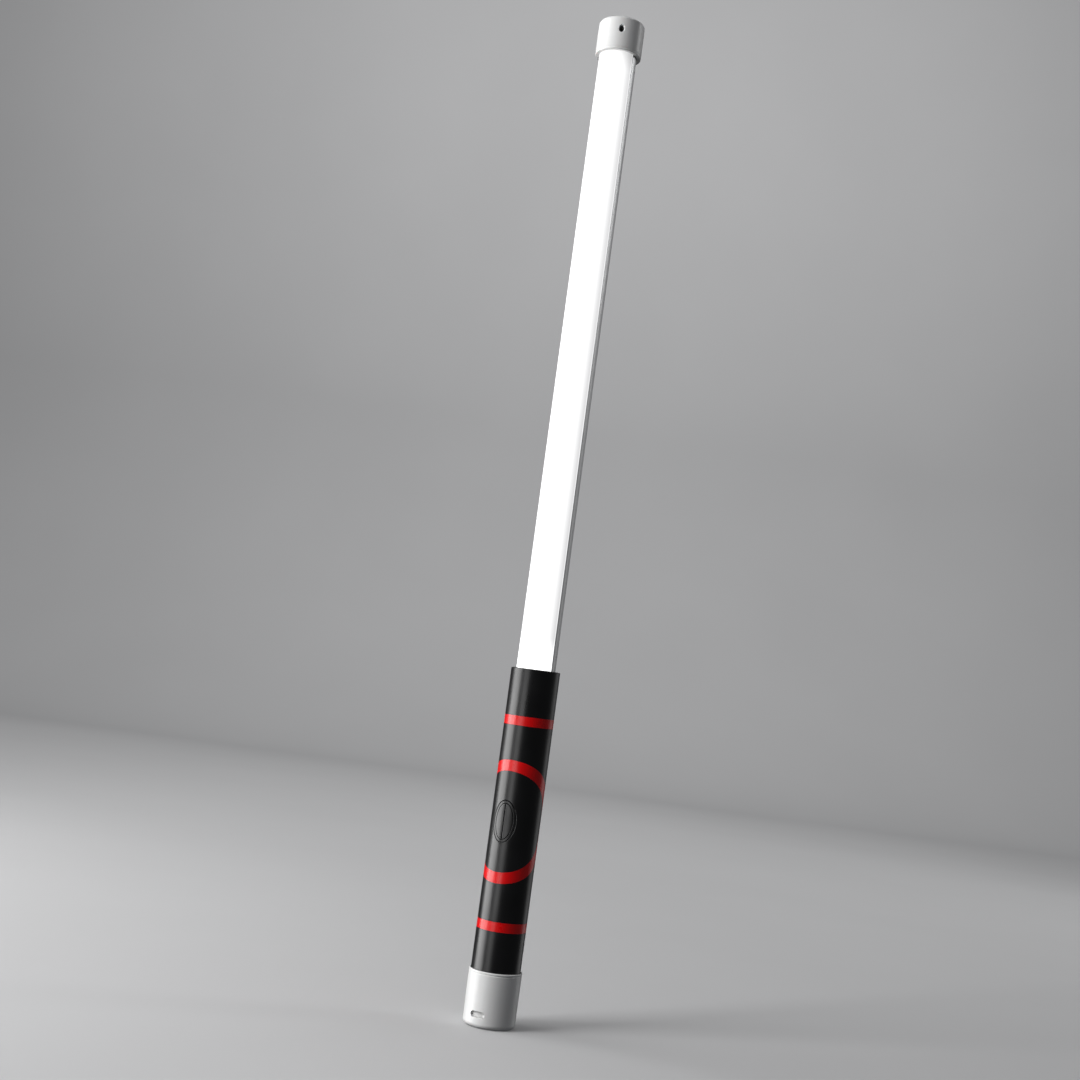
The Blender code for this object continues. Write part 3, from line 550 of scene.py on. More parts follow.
def moulded(name, pale, dark, rough_low, rough_high, peel=0.00002, grain=0.000004):
    """Injection moulded plastic: faint colour drift, handling marks, orange peel and grain."""
    look, tree, shader = new_look(name)
    where = place(tree)
    drift = noise(tree, where, 38.0, 4.0)
    specks = noise(tree, where, 2600.0, 2.0)
    tint(tree, shader, blend(tree, drift, specks, 0.75), dark, pale)
    smear = noise(tree, place(tree, (1.0, 1.0, 0.35)), 90.0, 5.0, rough=0.62, twist=0.6)
    roughen(tree, shader, smear, rough_low, rough_high)
    wave = noise(tree, where, 420.0, 2.0)
    first = relief(tree, shader, wave, peel, 0.6)
    relief(tree, shader, noise(tree, where, 5200.0, 2.0), grain, 0.8, first)
    return look


def white_shell():
    """Satin white cap plastic."""
    pale = (0.87, 0.87, 0.865)
    dark = (0.83, 0.83, 0.822)
    look = moulded("look_white_cap", pale, dark, 0.26, 0.36, peel=0.000015)
    shader = look.node_tree.nodes["Principled BSDF"]
    shader.inputs["Subsurface Weight"].default_value = 0.08
    shader.inputs["Subsurface Radius"].default_value = (0.0012, 0.001, 0.0009)
    shader.inputs["Subsurface Scale"].default_value = 1.0
    return look


def soft_white():
    """Matte soft white plug, greyer than the caps: partly its own tone, partly painted shade of the
    recess it sits in.
    """
    # The grey-white here is partly painted shade of the plug's recess.
    pale = (0.68, 0.68, 0.675)
    dark = (0.62, 0.62, 0.615)
    return moulded("look_soft_white", pale, dark, 0.48, 0.62, peel=0.00001, grain=0.000008)


def gloss_black(name, low, high):
    """Black grip plastic with upright handling streaks and hair scratches."""
    look, tree, shader = new_look(name)
    where = place(tree)
    drift = noise(tree, where, 55.0, 4.0)
    tint(tree, shader, drift, (0.004, 0.004, 0.0042), (0.0085, 0.0085, 0.009), 0.35, 0.7)
    streaks = noise(tree, place(tree, (1.0, 1.0, 0.05)), 260.0, 5.0, rough=0.6, twist=0.4)
    smears = noise(tree, place(tree, (1.0, 1.0, 0.4)), 48.0, 5.0, rough=0.65, twist=1.2)
    roughen(tree, shader, blend(tree, streaks, smears, 0.45), low, high, 0.35, 0.65)
    wave = noise(tree, place(tree, (1.0, 1.0, 0.12)), 180.0, 2.0)
    first = relief(tree, shader, wave, 0.00003, 0.35)
    hair = noise(tree, place(tree, (1.0, 1.0, 0.02)), 4200.0, 2.0)
    second = relief(tree, shader, hair, 0.0000035, 0.5, first)
    relief(tree, shader, noise(tree, where, 6500.0, 2.0), 0.000003, 0.6, second)
    return look


def red_ink():
    """Glossy red inlay with a faint print texture."""
    look, tree, shader = new_look("look_red_stripe")
    where = place(tree)
    drift = noise(tree, where, 70.0, 4.0)
    tint(tree, shader, drift, (0.72, 0.0, 0.001), (0.84, 0.001, 0.002))
    smears = noise(tree, place(tree, (1.0, 1.0, 0.4)), 60.0, 5.0, rough=0.6, twist=0.8)
    roughen(tree, shader, smears, 0.24, 0.34)
    first = relief(tree, shader, noise(tree, where, 260.0, 2.0), 0.00002, 0.35)
    relief(tree, shader, noise(tree, where, 5200.0, 2.0), 0.000004, 0.6, first)
    return look


def lit_front():
    """Frosted front lit from inside: brightest in the middle and close to the grip. The darkening
    towards both edges is painted shade and the bright line at each edge a painted highlight; the
    dip just below the top cap is painted shade under the cap.
    """
    look, tree, shader = new_look("look_frosted_front")
    where = tree.nodes.new("ShaderNodeTexCoord")
    parts = tree.nodes.new("ShaderNodeSeparateXYZ")
    tree.links.new(where.outputs["Object"], parts.inputs["Vector"])
    front = combine(tree, "MULTIPLY", parts.outputs["Y"], -1.0)
    turn = combine(tree, "ARCTAN2", parts.outputs["X"], front)
    share = combine(tree, "DIVIDE", combine(tree, "ABSOLUTE", turn, 0.0), math.radians(80.0))
    mottle = noise(tree, place(tree, (1.0, 1.0, 0.5)), 45.0, 3.0)
    shift = spread(tree, mottle, -0.012, 0.012)
    spot = combine(tree, "ADD", share, shift)
    # Painted shade: the glow darkens from the middle towards both edges, then a painted highlight
    # line lifts it again right at each edge.
    across = (
        (0.0, (0.75, 0.75, 0.75)),
        (0.45, (0.64, 0.64, 0.64)),
        (0.78, (0.42, 0.42, 0.422)),
        (0.93, (0.33, 0.331, 0.333)),
        (0.965, (0.48, 0.48, 0.482)),
    )
    # Along the tube the glow is twice as strong at the grip, fading over the first twentieth, which
    # throws light on the grip's rim; it drops in the last bit below the top cap as painted shade
    # under the cap.
    climb = spread(tree, parts.outputs["Z"], 0.0, 1.0, GRIP_HIGH * MM, CAP_LOW * MM)
    along = (
        (0.0, (1.0, 1.0, 1.0)),
        (0.05, (0.5, 0.5, 0.5)),
        (0.97, (0.5, 0.5, 0.5)),
        (1.0, (0.32, 0.32, 0.32)),
    )
    glow = tree.nodes.new("ShaderNodeVectorMath")
    glow.operation = "MULTIPLY"
    tree.links.new(ramp(tree, spot, across), glow.inputs[0])
    tree.links.new(ramp(tree, climb, along), glow.inputs[1])
    tree.links.new(glow.outputs["Vector"], shader.inputs["Emission Color"])
    shader.inputs["Emission Strength"].default_value = LIT_STRENGTH
    drift = noise(tree, place(tree), 60.0, 3.0)
    tint(tree, shader, drift, (0.30, 0.30, 0.30), (0.34, 0.34, 0.34))
    frost = noise(tree, place(tree), 3800.0, 3.0)
    roughen(tree, shader, frost, 0.38, 0.5, 0.0, 1.0)
    relief(tree, shader, frost, 0.000006, 0.6)
    return look


def drawn_aluminium():
    """Anodised extrusion with fine die lines along it."""
    look, tree, shader = new_look("look_aluminium_back")
    lines = noise(tree, place(tree, (1.0, 1.0, 0.003)), 2200.0, 4.0, rough=0.6)
    broad = noise(tree, place(tree, (1.0, 1.0, 0.01)), 380.0, 3.0)
    both = blend(tree, lines, broad, 0.6)
    tint(tree, shader, both, (0.50, 0.505, 0.51), (0.66, 0.665, 0.67))
    shader.inputs["Metallic"].default_value = 1.0
    roughen(tree, shader, both, 0.34, 0.5)
    first = relief(tree, shader, lines, 0.000012, 0.5)
    relief(tree, shader, noise(tree, place(tree), 5200.0, 2.0), 0.000006, 0.6, first)
    return look


def metal(name, pale, dark, rough_low, rough_high, stretch=(1.0, 1.0, 1.0)):
    """Plain metal with fine finish lines and a slight tarnish."""
    look, tree, shader = new_look(name)
    drift = noise(tree, place(tree), 240.0, 4.0)
    tint(tree, shader, drift, dark, pale)
    shader.inputs["Metallic"].default_value = 1.0
    lines = noise(tree, place(tree, stretch), 900.0, 4.0, rough=0.6)
    roughen(tree, shader, lines, rough_low, rough_high)
    relief(tree, shader, lines, 0.000008, 0.5)
    return look


def circuit_board(name, pale, dark):
    """Solder mask over laminate with a faint copper pattern below it."""
    look, tree, shader = new_look(name)
    cells = tree.nodes.new("ShaderNodeTexVoronoi")
    cells.feature = "DISTANCE_TO_EDGE"
    cells.inputs["Scale"].default_value = 420.0
    tree.links.new(place(tree), cells.inputs["Vector"])
    tracks = spread(tree, cells.outputs["Distance"], 0.0, 1.0, 0.02, 0.09)
    tint(tree, shader, tracks, pale, dark, 0.0, 1.0)
    weave = noise(tree, place(tree), 1500.0, 3.0)
    roughen(tree, shader, weave, 0.32, 0.5, 0.0, 1.0)
    first = relief(tree, shader, tracks, 0.00002, 0.5)
    relief(tree, shader, weave, 0.000006, 0.5, first)
    return look


def pale_floor():
    """Matte pale studio paper."""
    look, tree, shader = new_look("look_floor")
    drift = noise(tree, place(tree), 2.2, 3.0)
    tint(tree, shader, drift, (0.60, 0.60, 0.605), (0.62, 0.62, 0.625))
    shader.inputs["Roughness"].default_value = 0.85
    shader.inputs["Specular IOR Level"].default_value = 0.2
    relief(tree, shader, noise(tree, place(tree), 700.0, 3.0), 0.00008, 0.3)
    return look


WHITE = white_shell()
SOFT = soft_white()
BLACK = gloss_black("look_black_grip", 0.25, 0.37)
KEY_BLACK = gloss_black("look_black_key", 0.26, 0.38)
RED = red_ink()
LIT = lit_front()
ALUMINIUM = drawn_aluminium()
STEEL = metal("look_plated_steel", (0.66, 0.66, 0.67), (0.52, 0.52, 0.54), 0.2, 0.34)
BRASS = metal("look_brass", (0.78, 0.57, 0.26), (0.62, 0.43, 0.17), 0.22, 0.4, (1.0, 1.0, 8.0))
GREEN = circuit_board("look_green_board", (0.03, 0.24, 0.09), (0.012, 0.11, 0.04))
BOARD_WHITE = circuit_board("look_white_board", (0.86, 0.86, 0.84), (0.8, 0.8, 0.78))
EPOXY = moulded("look_dark_component", (0.035, 0.035, 0.038), (0.018, 0.018, 0.02), 0.4, 0.55)
INNER = moulded("look_grey_inner", (0.27, 0.27, 0.28), (0.2, 0.2, 0.21), 0.42, 0.58)
WRAP = moulded("look_cell_wrap", (0.05, 0.17, 0.45), (0.035, 0.12, 0.36), 0.28, 0.42)
RED_WIRE = moulded("look_red_wire", (0.6, 0.02, 0.02), (0.45, 0.012, 0.012), 0.42, 0.56)
BLACK_WIRE = moulded("look_black_wire", (0.03, 0.03, 0.032), (0.015, 0.015, 0.016), 0.42, 0.56)


# --------------------------------------------------------------------- pieces

def grip():
    """Black grip tube with seats for the stripes, the circle and the button."""
    seat = GRIP_R - INLAY - SEAT_ROOM
    half = STRIPE_HALF + SEAM
    corners = [(GRIP_IN, GRIP_LOW, 0.0), (GRIP_R, GRIP_LOW, GRIP_FOOT_EDGE)]
    for centre in (LOWER_Z, UPPER_Z):
        corners += [
            (GRIP_R, centre - half, INLAY_EDGE),
            (seat, centre - half, 0.0),
            (seat, centre + half, 0.0),
            (GRIP_R, centre + half, INLAY_EDGE),
        ]
    corners += [
        (GRIP_R, GRIP_HIGH - GRIP_RIM_DROP, 0.07),
        (MOUTH_R, GRIP_HIGH, 0.1),
        (MOUTH_R, GRIP_HIGH - MOUTH_DEPTH, 0.0),
        (GRIP_IN, GRIP_HIGH - MOUTH_DEPTH, 0.0),
    ]
    piece = turned(
        "grip_body", rounded(corners, 15.0), steps=GRIP_STEPS,
        nodes=("grip_shell",), look=BLACK, slot="black_grip",
    )
    outside = GRIP_R + 0.6
    ring = wrapped_ring(
        "ring_cutter", CIRCLE_IN - SEAM, CIRCLE_OUT + SEAM, seat, outside, body=None,
    )
    # An odd count keeps the oval's points off the grip's own points at x = 0.
    opening = oval(HOLE_W, HOLE_H, BUTTON_Z, 161)
    hole = wall_cutter(opening, GRIP_R, HOLE_LIP, HOLE_DROP, HOLE_FLOOR, flat=True)
    cut(piece, ring, hole)
    true_round(piece)


def stripes():
    """Two red bands and the red circle, flush with the grip."""
    for name, centre in (("stripe_lower_band", LOWER_Z), ("stripe_upper_band", UPPER_Z)):
        corners = [
            (GRIP_R - INLAY, centre - STRIPE_HALF, 0.0),
            (GRIP_R, centre - STRIPE_HALF, INLAY_EDGE),
            (GRIP_R, centre + STRIPE_HALF, INLAY_EDGE),
            (GRIP_R - INLAY, centre + STRIPE_HALF, 0.0),
        ]
        band = turned(
            name, rounded(corners, 30.0), steps=GRIP_STEPS,
            nodes=(name.replace("_band", ""),), look=RED, slot="red_stripe",
        )
        true_round(band)
    circle = wrapped_ring(
        "stripe_circle_band", CIRCLE_IN, CIRCLE_OUT, GRIP_R - INLAY, GRIP_R,
        nodes=("stripe_circle",), look=RED, slot="red_stripe",
    )
    true_round(circle)


def collar():
    """Dark ring in the mouth of the grip."""
    corners = [
        (COLLAR_IN, GRIP_HIGH - COLLAR_DEPTH, 0.0),
        (COLLAR_OUT, GRIP_HIGH - COLLAR_DEPTH, 0.0),
        (COLLAR_OUT, GRIP_HIGH - COLLAR_DROP, COLLAR_EDGE),
        (COLLAR_IN, GRIP_HIGH - COLLAR_DROP, COLLAR_EDGE),
    ]
    turned(
        "grip_collar_ring", rounded(corners), nodes=("grip_collar",), look=BLACK, slot="black_grip",
    )


def bezel():
    """Oval frame that follows the grip's curve, both edges rounded."""
    outer = oval(BEZEL_W, BEZEL_H, BUTTON_Z, 160)
    inner = oval(BEZEL_IN_W, BEZEL_IN_H, BUTTON_Z, 160)
    rings = [[(x, BEZEL_BACK, z) for x, z in outer]]
    rings += rolled_edge(outer, GRIP_R, -BEZEL_EDGE)
    near = grown(outer, -BEZEL_EDGE)
    far = grown(inner, BEZEL_EDGE)
    bands = 8
    for band in range(1, bands):
        share = band / bands
        between = []
        for (near_x, near_z), (far_x, far_z) in zip(near, far):
            between.append((near_x + (far_x - near_x) * share, near_z + (far_z - near_z) * share))
        rings.append(on_wall(between, GRIP_R, 0.0))
    rings += reversed(rolled_edge(inner, GRIP_R, BEZEL_EDGE))
    rings.append([(x, BEZEL_BACK, z) for x, z in inner])
    lofted(
        "button_frame", rings, closed=True,
        nodes=("button_bezel",), look=KEY_BLACK, slot="black_grip",
    )


def key_outline(side, half_width, half_height):
    """Half of the oval button's outline on one side of its split line."""
    limit = math.acos(SPLIT_HALF / half_width)
    curve_steps = 72
    line_steps = 40
    points = []
    for step in range(curve_steps + 1):
        angle = -limit + 2.0 * limit * step / curve_steps
        across = side * half_width * math.cos(angle)
        points.append((across, BUTTON_Z + side * half_height * math.sin(angle)))
    top = points[-1][1]
    bottom = points[0][1]
    for step in range(1, line_steps):
        share = step / line_steps
        points.append((side * SPLIT_HALF, top + (bottom - top) * share))
    return points


def key(name, side, body, node):
    """One half of the oval button, softly rounded, with the flange that keeps it in."""
    outline = key_outline(side, KEY_W, KEY_H)
    flange = key_outline(side, KEY_W + KEY_FLANGE_GROW, KEY_H + KEY_FLANGE_GROW)
    middle_x = sum(point[0] for point in outline) / len(outline)
    rings = [
        [(x, KEY_BACK, z) for x, z in flange],
        [(x, KEY_FLANGE_Y, z) for x, z in flange],
        [(x, KEY_FLANGE_Y, z) for x, z in outline],
    ]
    rings += rolled_edge(outline, GRIP_R, -KEY_EDGE, KEY_EDGE_STEPS)
    last = grown(outline, -KEY_EDGE)
    bands = 14
    for band in range(1, bands):
        share = band / bands
        inward = []
        for x, z in last:
            inward.append((x + (middle_x - x) * share, z + (BUTTON_Z - z) * share))
        rings.append(on_wall(inward, GRIP_R, 0.0))
    lofted(name, rings, body=body, nodes=(node,), look=KEY_BLACK, slot="black_key")


def top_cap():
    """White cup over the tube's upper end with its hanging hole and screw seats."""
    groove = CAP_R - CAP_GROOVE
    corners = [
        (CAP_IN, CAP_LOW, 0.25),
        (CAP_R, CAP_LOW, 0.7),
        (CAP_R, CAP_LOW + 1.3, 0.15),
        (groove, CAP_LOW + 1.5, 0.1),
        (groove, CAP_LOW + 1.8, 0.1),
        (CAP_R, CAP_LOW + 2.0, 0.15),
        (CAP_R, CAP_HIGH, CAP_FILLET),
        (0.0, CAP_HIGH, 0.0),
        (0.0, CAP_ROOF, 0.0),
        (CAP_R - CAP_WALL, CAP_ROOF, 0.3),
        (CAP_R - CAP_WALL, TUBE_HIGH + CAP_STOP, 0.0),
        (CAP_IN, TUBE_HIGH + CAP_STOP, 0.0),
    ]
    piece = turned(
        "top_cap_shell", rounded(corners), nodes=("top_cap",), look=WHITE, slot="white_caps",
    )
    tools = []
    for turn in (0.0, 180.0):
        outline = oval(HANG_W, HANG_H, HANG_Z, 64)
        tool = wall_cutter(outline, CAP_R, HANG_EDGE, HANG_EDGE, HANG_FLOOR, flat=True)
        tool.data.transform(Matrix.Rotation(math.radians(HANG_ANGLE + turn), 4, "Z"))
        tools.append(tool)
    for x in (-PORT_X, PORT_X):
        tools.append(screw_seat((x, PORT_Y), CAP_HIGH, 1.0, CAP_SEAT))
    cut(piece, *tools)
    true_round(piece)


def screw_seat(centre, face, way, depth):
    """Cutter for a screw head's round seat in a flat face; way is +1 where the face looks up."""
    outline = [
        (0.0, face + way),
        (SEAT_MOUTH_R, face + way),
        (SEAT_MOUTH_R, face + way * SEAT_LEAD),
        (SEAT_R, face - way * SEAT_LEAD),
        (SEAT_R, face - way * depth),
        (0.0, face - way * depth),
    ]
    return turned("seat_cutter", outline, centre, steps=64, body=None)


def bottom_cap():
    """White cup at the base with the charging opening and its screw seats."""
    groove = BASE_R - BASE_GROOVE
    corners = [
        (BOSS_BORE, 0.0, 0.2),
        (BASE_LOW_R, 0.0, BASE_FILLET),
        (BASE_R - 0.06, BASE_RIM - 2.0, 0.0),
        (groove, BASE_RIM - 1.75, 0.1),
        (groove, BASE_RIM - 1.4, 0.1),
        (BASE_R, BASE_RIM - 1.15, 0.15),
        (BASE_R, BASE_RIM, 0.55),
        (BASE_MOUTH_R, BASE_RIM, 0.15),
        (BASE_MOUTH_R, BASE_LEDGE, 0.0),
        (BASE_IN, BASE_LEDGE, 0.0),
        (BASE_IN, BASE_FLOOR, 0.0),
        (BOSS_R, BASE_FLOOR, 0.0),
        (BOSS_R, BOSS_HIGH, 0.0),
        (BOSS_BORE, BOSS_HIGH, 0.0),
    ]
    piece = turned(
        "bottom_cap_shell", rounded(corners, 8.0),
        nodes=("bottom_cap",), look=WHITE, slot="white_caps",
    )
    slot = stadium(SLOT_W, SLOT_H, USB_Z)
    tools = [wall_cutter(slot, BASE_LOW_R + 0.06, SLOT_EDGE, SLOT_EDGE, SLOT_FLOOR)]
    for x in (-BASE_SCREW_X, BASE_SCREW_X):
        tools.append(screw_seat((x, 0.0), 0.0, -1.0, BASE_SEAT))
    cut(piece, *tools)
    true_round(piece)


def port_plug():
    """Soft white plug that closes the charging opening, set back from the cap's surface."""
    outline = stadium(COVER_W, COVER_H, USB_Z)
    rings = [[(x, COVER_BACK, z) for x, z in outline]]
    rings += rolled_edge(outline, COVER_R, -COVER_EDGE)
    last = grown(outline, -COVER_EDGE)
    bands = 8
    for band in range(1, bands):
        share = band / bands
        inward = [(x * (1.0 - share * 0.9), z + (USB_Z - z) * share) for x, z in last]
        rings.append(on_wall(inward, COVER_R, 0.0))
    lofted("port_plug", rings, body="cover", nodes=("port_cover",), look=SOFT, slot="white_soft")


def front():
    """Frosted front of the tube with a rail along each edge."""
    outer = arc(TUBE_R, -EDGE_ANGLE, EDGE_ANGLE, 120)
    inner = arc(TUBE_R - FRONT_WALL, EDGE_ANGLE - RAIL_TURN, -EDGE_ANGLE + RAIL_TURN, 80)
    step_y = outer[-1][1] + RAIL_STEP
    outline = outer + [(RAIL_OUT, step_y), (RAIL_OUT, RAIL_Y), (RAIL_IN, RAIL_Y)]
    outline += inner
    outline += [(-RAIL_IN, RAIL_Y), (-RAIL_OUT, RAIL_Y), (-RAIL_OUT, step_y)]
    piece = bar(
        "lit_front", outline, TUBE_LOW, TUBE_HIGH,
        nodes=("diffuser",), look=LIT, slot="frosted_front",
    )
    true_round(piece)


def sink_outline():
    """The extrusion's outside with its grooves, then the channels for the front's rails."""
    lip_y = on_circle(TUBE_R, EDGE_ANGLE)[1] + SINK_GAP
    lip = math.degrees(math.acos(-lip_y / TUBE_R))
    grooves = [(angle, *SIDE_LINE) for angle in SIDE_LINE_ANGLES]
    grooves += [(angle, *COOLING_GROOVE) for angle in COOLING_ANGLES]
    grooves.sort()
    first = lip + LIP_TURN
    outline = [on_circle(TUBE_R - drop, lip + turn) for drop, turn in LIP_ROLL]
    for angle, width, depth in grooves:
        half = math.degrees(width / 2.0 / TUBE_R)
        steps = max(4, round((angle - first) / 2.0))
        outline += arc(TUBE_R, first, angle - half * GROOVE_MOUTH, steps)
        outline += [
            on_circle(TUBE_R - GROOVE_LIP_DROP, angle - half),
            on_circle(TUBE_R - depth, angle - half * GROOVE_BOTTOM),
            on_circle(TUBE_R - depth, angle + half * GROOVE_BOTTOM),
            on_circle(TUBE_R - GROOVE_LIP_DROP, angle + half),
        ]
        first = angle + half * GROOVE_MOUTH
    outline += arc(TUBE_R, first, 360.0 - lip - LIP_TURN, 10)
    outline += [on_circle(TUBE_R - drop, 360.0 - lip - turn) for drop, turn in reversed(LIP_ROLL)]
    channel = [
        (CHANNEL_OUT, lip_y),
        (CHANNEL_OUT, CHANNEL_Y),
        (CHANNEL_IN, CHANNEL_Y),
        (CHANNEL_IN, lip_y),
        (SHELF_X, lip_y),
        (SHELF_X, 0.0),
    ]
    outline += [(-x, y) for x, y in channel]
    outline += reversed(channel)
    return outline


def heat_sink():
    """Extruded aluminium back: hollow, with two screw ports along it."""
    piece = bar(
        "aluminium_back", sink_outline(), TUBE_LOW, TUBE_HIGH,
        nodes=("heat_sink",), look=ALUMINIUM, slot="aluminium_back",
    )
    low = TUBE_LOW - 1.0
    high = TUBE_HIGH + 1.0
    inner = TUBE_R - SINK_WALL
    corner = math.degrees(math.acos(-SINK_WALL / inner))
    hollow = bar("hollow_cutter", arc(inner, corner, 360.0 - corner, 60), low, high, body=None)
    bores = []
    for x in (-PORT_X, PORT_X):
        port = [(0.0, low - 1.0), (PORT_R, low - 1.0), (PORT_R, high + 1.0), (0.0, high + 1.0)]
        cut(hollow, turned("port_cutter", port, (x, PORT_Y), steps=48, body=None))
        bore = [(0.0, low), (PORT_BORE, low), (PORT_BORE, high), (0.0, high)]
        bores.append(turned("bore_cutter", bore, (x, PORT_Y), steps=32, body=None))
    cut(piece, hollow, *bores)
    true_round(piece)


def screw(name, node, centre, face, way, tip, shank):
    """Cap screw with a rounded head and a hexagon socket; way is +1 where its tip is up."""
    under = face + way * HEAD_TALL
    corners = [
        (0.0, face, 0.0),
        (HEAD_R, face, 0.3),
        (HEAD_R, under, 0.08),
        (shank, under, 0.0),
        (shank, tip - way * 0.5, 0.0),
        (shank - 0.4, tip, 0.0),
        (0.0, tip, 0.0),
    ]
    piece = turned(
        name, rounded(corners, 15.0), centre, steps=64,
        nodes=(node,), look=STEEL, slot="plated_steel",
    )
    rings = []
    for depth, size in SOCKET:
        ring = []
        for corner in range(6):
            angle = math.pi / 3.0 * corner
            x = centre[0] + size * math.cos(angle)
            y = centre[1] + size * math.sin(angle)
            ring.append((x, y, face + way * depth))
        rings.append(ring)
    cut(piece, lofted("socket_cutter", rings, body=None))


def threaded_insert():
    """Brass insert with a real thread down its bore, faded out at both ends."""
    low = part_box("tripod_insert")[0].z / MM
    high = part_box("tripod_insert")[1].z / MM
    around = 72
    levels = 120
    turns = [2.0 * math.pi * step / around for step in range(around)]
    outside = [
        (INSERT_FACE_R, low, 0.0),
        (INSERT_R, low, INSERT_EDGE),
        (INSERT_R, high, INSERT_EDGE),
        (INSERT_FACE_R, high, 0.0),
    ]
    rings = []
    for radius, height in rounded(outside):
        rings.append([
            (radius * math.sin(turn), -radius * math.cos(turn), height) for turn in turns
        ])
    for level in range(levels + 1):
        height = high + (low - high) * level / levels
        ends = min(1.0, min(height - low, high - height) / THREAD_FADE)
        ring = []
        for step, turn in enumerate(turns):
            share = (height / THREAD_PITCH + step / around) % 1.0
            crest = min(1.0, max(0.0, 1.5 - abs(share - 0.5) * 4.0))
            radius = THREAD_R - THREAD_DEPTH * crest * ends
            ring.append((radius * math.sin(turn), -radius * math.cos(turn), height))
        rings.append(ring)
    lofted(
        "brass_thread", rings, closed=True,
        nodes=("tripod_insert",), look=BRASS, slot="brass_insert",
    )


def dress(look, *nodes):
    """Give carried-over CAD nodes their finish."""
    for node in nodes:
        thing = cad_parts[node]
        thing.data.materials.clear()
        thing.data.materials.append(look)
        for holder in thing.material_slots:
            holder.link = "DATA"


def carried_over():
    """Finishes for the CAD nodes that stay."""
    dress(GREEN, "usb_board", "control_board")
    dress(BOARD_WHITE, "led_board")
    dress(
        EPOXY,
        "charge_chip", "usb_tongue", "switch_left", "switch_right", "driver_chip", "inductor",
    )
    dress(
        STEEL,
        "usb_socket", "contact_lower", "contact_upper", "capacitor_lower", "capacitor_upper",
    )
    dress(STEEL, "foot_screw_left", "foot_screw_right")
    dress(INNER, "plunger_left", "plunger_right", "battery_carrier", "tube_foot", "top_plug")
    dress(WRAP, "battery_cell_lower", "battery_cell_upper")
    dress(RED_WIRE, "wire_charge_plus", "wire_battery_plus", "wire_light_plus")
    dress(BLACK_WIRE, "wire_charge_minus", "wire_battery_minus", "wire_light_minus")


def screws():
    """The two screws in the base and the two in the top face."""
    for side, x in (("left", -BASE_SCREW_X), ("right", BASE_SCREW_X)):
        screw(
            f"base_bolt_{side}", f"base_screw_{side}", (x, 0.0),
            face=BASE_HEAD_Z, way=1.0, tip=BASE_TIP_Z, shank=BASE_SHANK,
        )
    for side, x in (("left", -PORT_X), ("right", PORT_X)):
        screw(
            f"top_bolt_{side}", f"top_screw_{side}", (x, PORT_Y),
            face=CAP_HIGH - CAP_HEAD_DROP, way=-1.0, tip=CAP_TIP_Z, shank=CAP_SHANK,
        )


# ---------------------------------------------------------- floor, light, view

# Metres and degrees from here on.
VIEW_AZIMUTH = 28.5
VIEW_DISTANCE = 1.012
VIEW_HEIGHT = 0.2131
VIEW_PITCH = 5.57
VIEW_ROLL = 7.68
VIEW_YAW = 0.49
VIEW_LENS = 51.67

# Upright soft lights: name, azimuth from the view, distance, height, width, tall, watts.
SOFTBOXES = (
    ("key_low", -91.0, 1.25, 0.1, 1.0, 0.9, 19.0),
    ("key_high", -91.0, 1.25, 1.2, 1.0, 0.7, 4.2),
    ("fill_low", -41.0, 1.5, 0.1, 0.66, 0.9, 4.4),
    ("high_right", 107.0, 1.6, 1.45, 0.3, 1.1, 4.2),
    ("back_right", 128.0, 2.0, 0.6, 1.0, 2.6, 4.2),
)
ROOM_COLOUR = (0.93, 0.95, 1.0, 1.0)
ROOM_STRENGTH = 0.07


def away(azimuth, distance, height):
    """A point round the tube, in metres."""
    angle = math.radians(azimuth)
    return Vector((distance * math.sin(angle), -distance * math.cos(angle), height))


def backdrop():
    """Pale paper sweep: flat under the tube, curved up behind it."""
    half = 6.0
    front_edge = -3.0
    bend = 2.6
    curve = 1.0
    top = 4.0
    steps = 24
    section = [(front_edge, 0.0), (0.0, 0.0), (1.2, 0.0)]
    for step in range(steps + 1):
        angle = math.pi / 2.0 * step / steps
        section.append((bend + curve * math.sin(angle), curve * (1.0 - math.cos(angle))))
    section.append((bend + curve, top))
    turn = math.radians(VIEW_AZIMUTH)
    back = Vector((-math.sin(turn), math.cos(turn), 0.0))
    side = Vector((math.cos(turn), math.sin(turn), 0.0))
    points = []
    for reach, height in section:
        for across in (-half, half):
            points.append((back * reach + side * across + Vector((0.0, 0.0, height))) / MM)
    faces = []
    for index in range(len(section) - 1):
        near = index * 2
        faces.append([near, near + 1, near + 3, near + 2])
    sweep = make("paper_sweep", points, faces, body=None, look=pale_floor())
    sweep.visible_glossy = False
    sweep.visible_diffuse = False


def area(name, spot, width, tall, power):
    """Rectangular soft light, unseen by the camera itself."""
    lamp = bpy.data.lights.new(name, "AREA")
    lamp.shape = "RECTANGLE"
    lamp.size = width
    lamp.size_y = tall
    lamp.energy = power
    holder = bpy.data.objects.new(name, lamp)
    bpy.context.scene.collection.objects.link(holder)
    holder.location = spot
    holder.visible_camera = False
    return holder


def aim(holder, target):
    """Turn a light towards a point."""
    holder.rotation_mode = "QUATERNION"
    holder.rotation_quaternion = (holder.location - target).to_track_quat("Z", "Y")


def softbox(name, azimuth, distance, height, width, tall, power):
    """Upright soft light that faces the tube."""
    holder = area(name, away(azimuth, distance, height), width, tall, power)
    aim(holder, Vector((0.0, 0.0, height)))


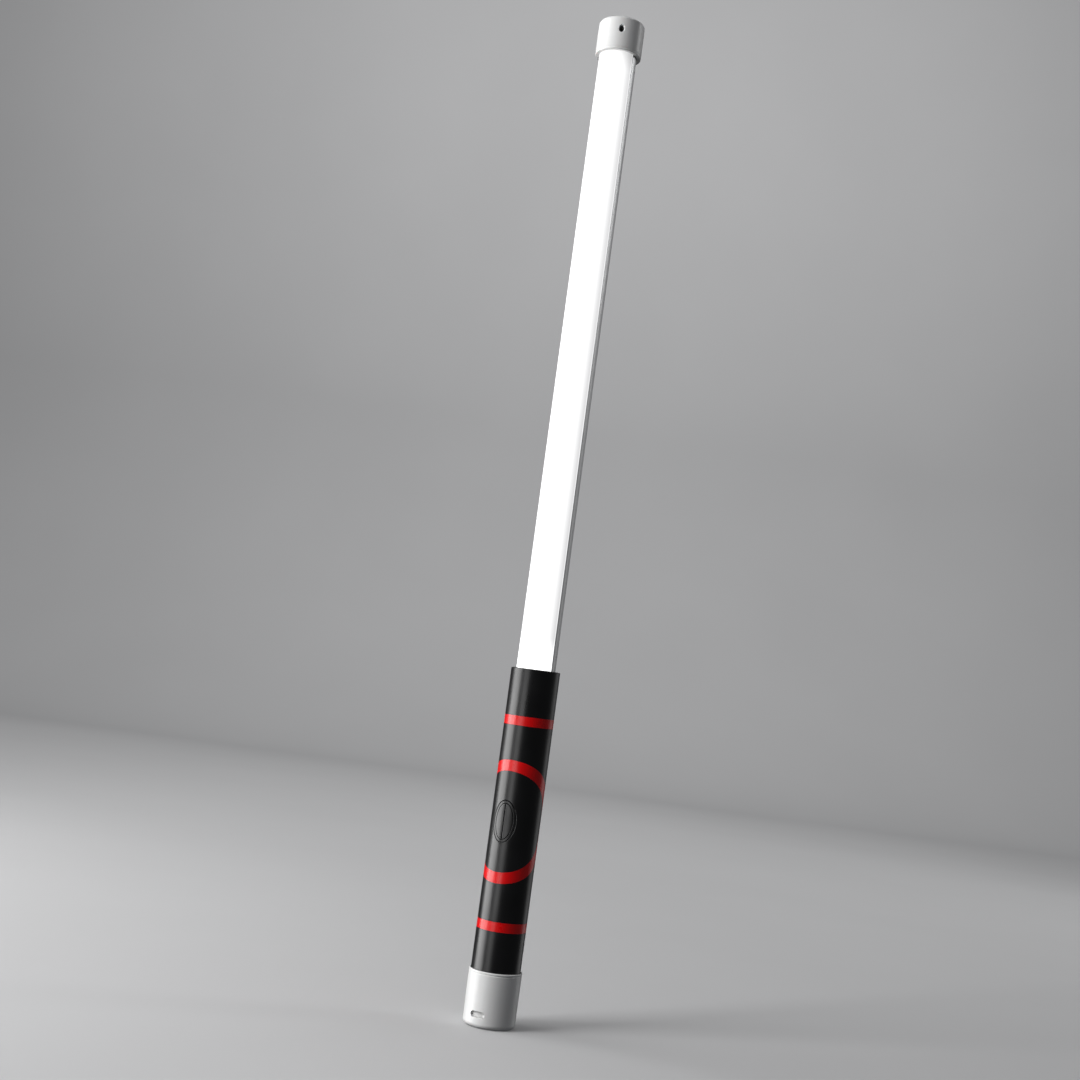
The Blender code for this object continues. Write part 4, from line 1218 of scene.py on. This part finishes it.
def lights():
    """Soft lights round the tube, a fill that leaves no reflection, a paper wash, a dim room."""
    for name, turn, distance, height, width, tall, power in SOFTBOXES:
        softbox(name, VIEW_AZIMUTH + turn, distance, height, width, tall, power)
    soft_spot = away(VIEW_AZIMUTH - 57.0, 1.3, 1.15)
    soft = area("soft_left", soft_spot, width=0.5, tall=0.5, power=14.0)
    aim(soft, Vector((0.0, 0.0, 0.3)))
    soft.visible_glossy = False
    behind = VIEW_AZIMUTH + 180.0
    wash = area("paper_wash", away(behind, 1.1, 2.6), width=3.2, tall=1.2, power=52.0)
    aim(wash, away(behind, 3.6, 0.9))
    world = bpy.data.worlds.new("pale_room")
    bpy.context.scene.world = world
    world.use_nodes = True
    sky = world.node_tree.nodes["Background"]
    sky.inputs["Color"].default_value = ROOM_COLOUR
    sky.inputs["Strength"].default_value = ROOM_STRENGTH


def camera():
    """Camera at the photograph's viewing angle, without shift."""
    lens = bpy.data.cameras.new("view")
    lens.sensor_width = 36.0
    lens.lens = VIEW_LENS
    lens.clip_start = 0.01
    lens.clip_end = 100.0
    holder = bpy.data.objects.new("view", lens)
    bpy.context.scene.collection.objects.link(holder)
    turn = math.radians(VIEW_AZIMUTH + VIEW_YAW)
    pitch = math.radians(VIEW_PITCH)
    roll = math.radians(VIEW_ROLL)
    flat = Vector((-math.sin(turn), math.cos(turn), 0.0))
    right = Vector((math.cos(turn), math.sin(turn), 0.0))
    ahead = flat * math.cos(pitch) + Vector((0.0, 0.0, math.sin(pitch)))
    up = right.cross(ahead)
    leaned_right = right * math.cos(roll) + up * math.sin(roll)
    leaned_up = up * math.cos(roll) - right * math.sin(roll)
    stand = Matrix((leaned_right, leaned_up, -ahead)).transposed().to_4x4()
    stand.translation = away(VIEW_AZIMUTH, VIEW_DISTANCE, VIEW_HEIGHT)
    holder.matrix_world = stand
    bpy.context.scene.camera = holder


def tone():
    """Plain colour handling, so that the red and the white stay as they are."""
    settings = bpy.context.scene.view_settings
    settings.view_transform = "Standard"
    settings.look = "None"
    settings.exposure = 0.0
    settings.gamma = 1.0


camera()
tone()
backdrop()
lights()
grip()
stripes()
collar()
bezel()
key("button_left", -1.0, "left_key", "key_left")
key("button_right", 1.0, "right_key", "key_right")
top_cap()
bottom_cap()
port_plug()
front()
heat_sink()
screws()
threaded_insert()
carried_over()
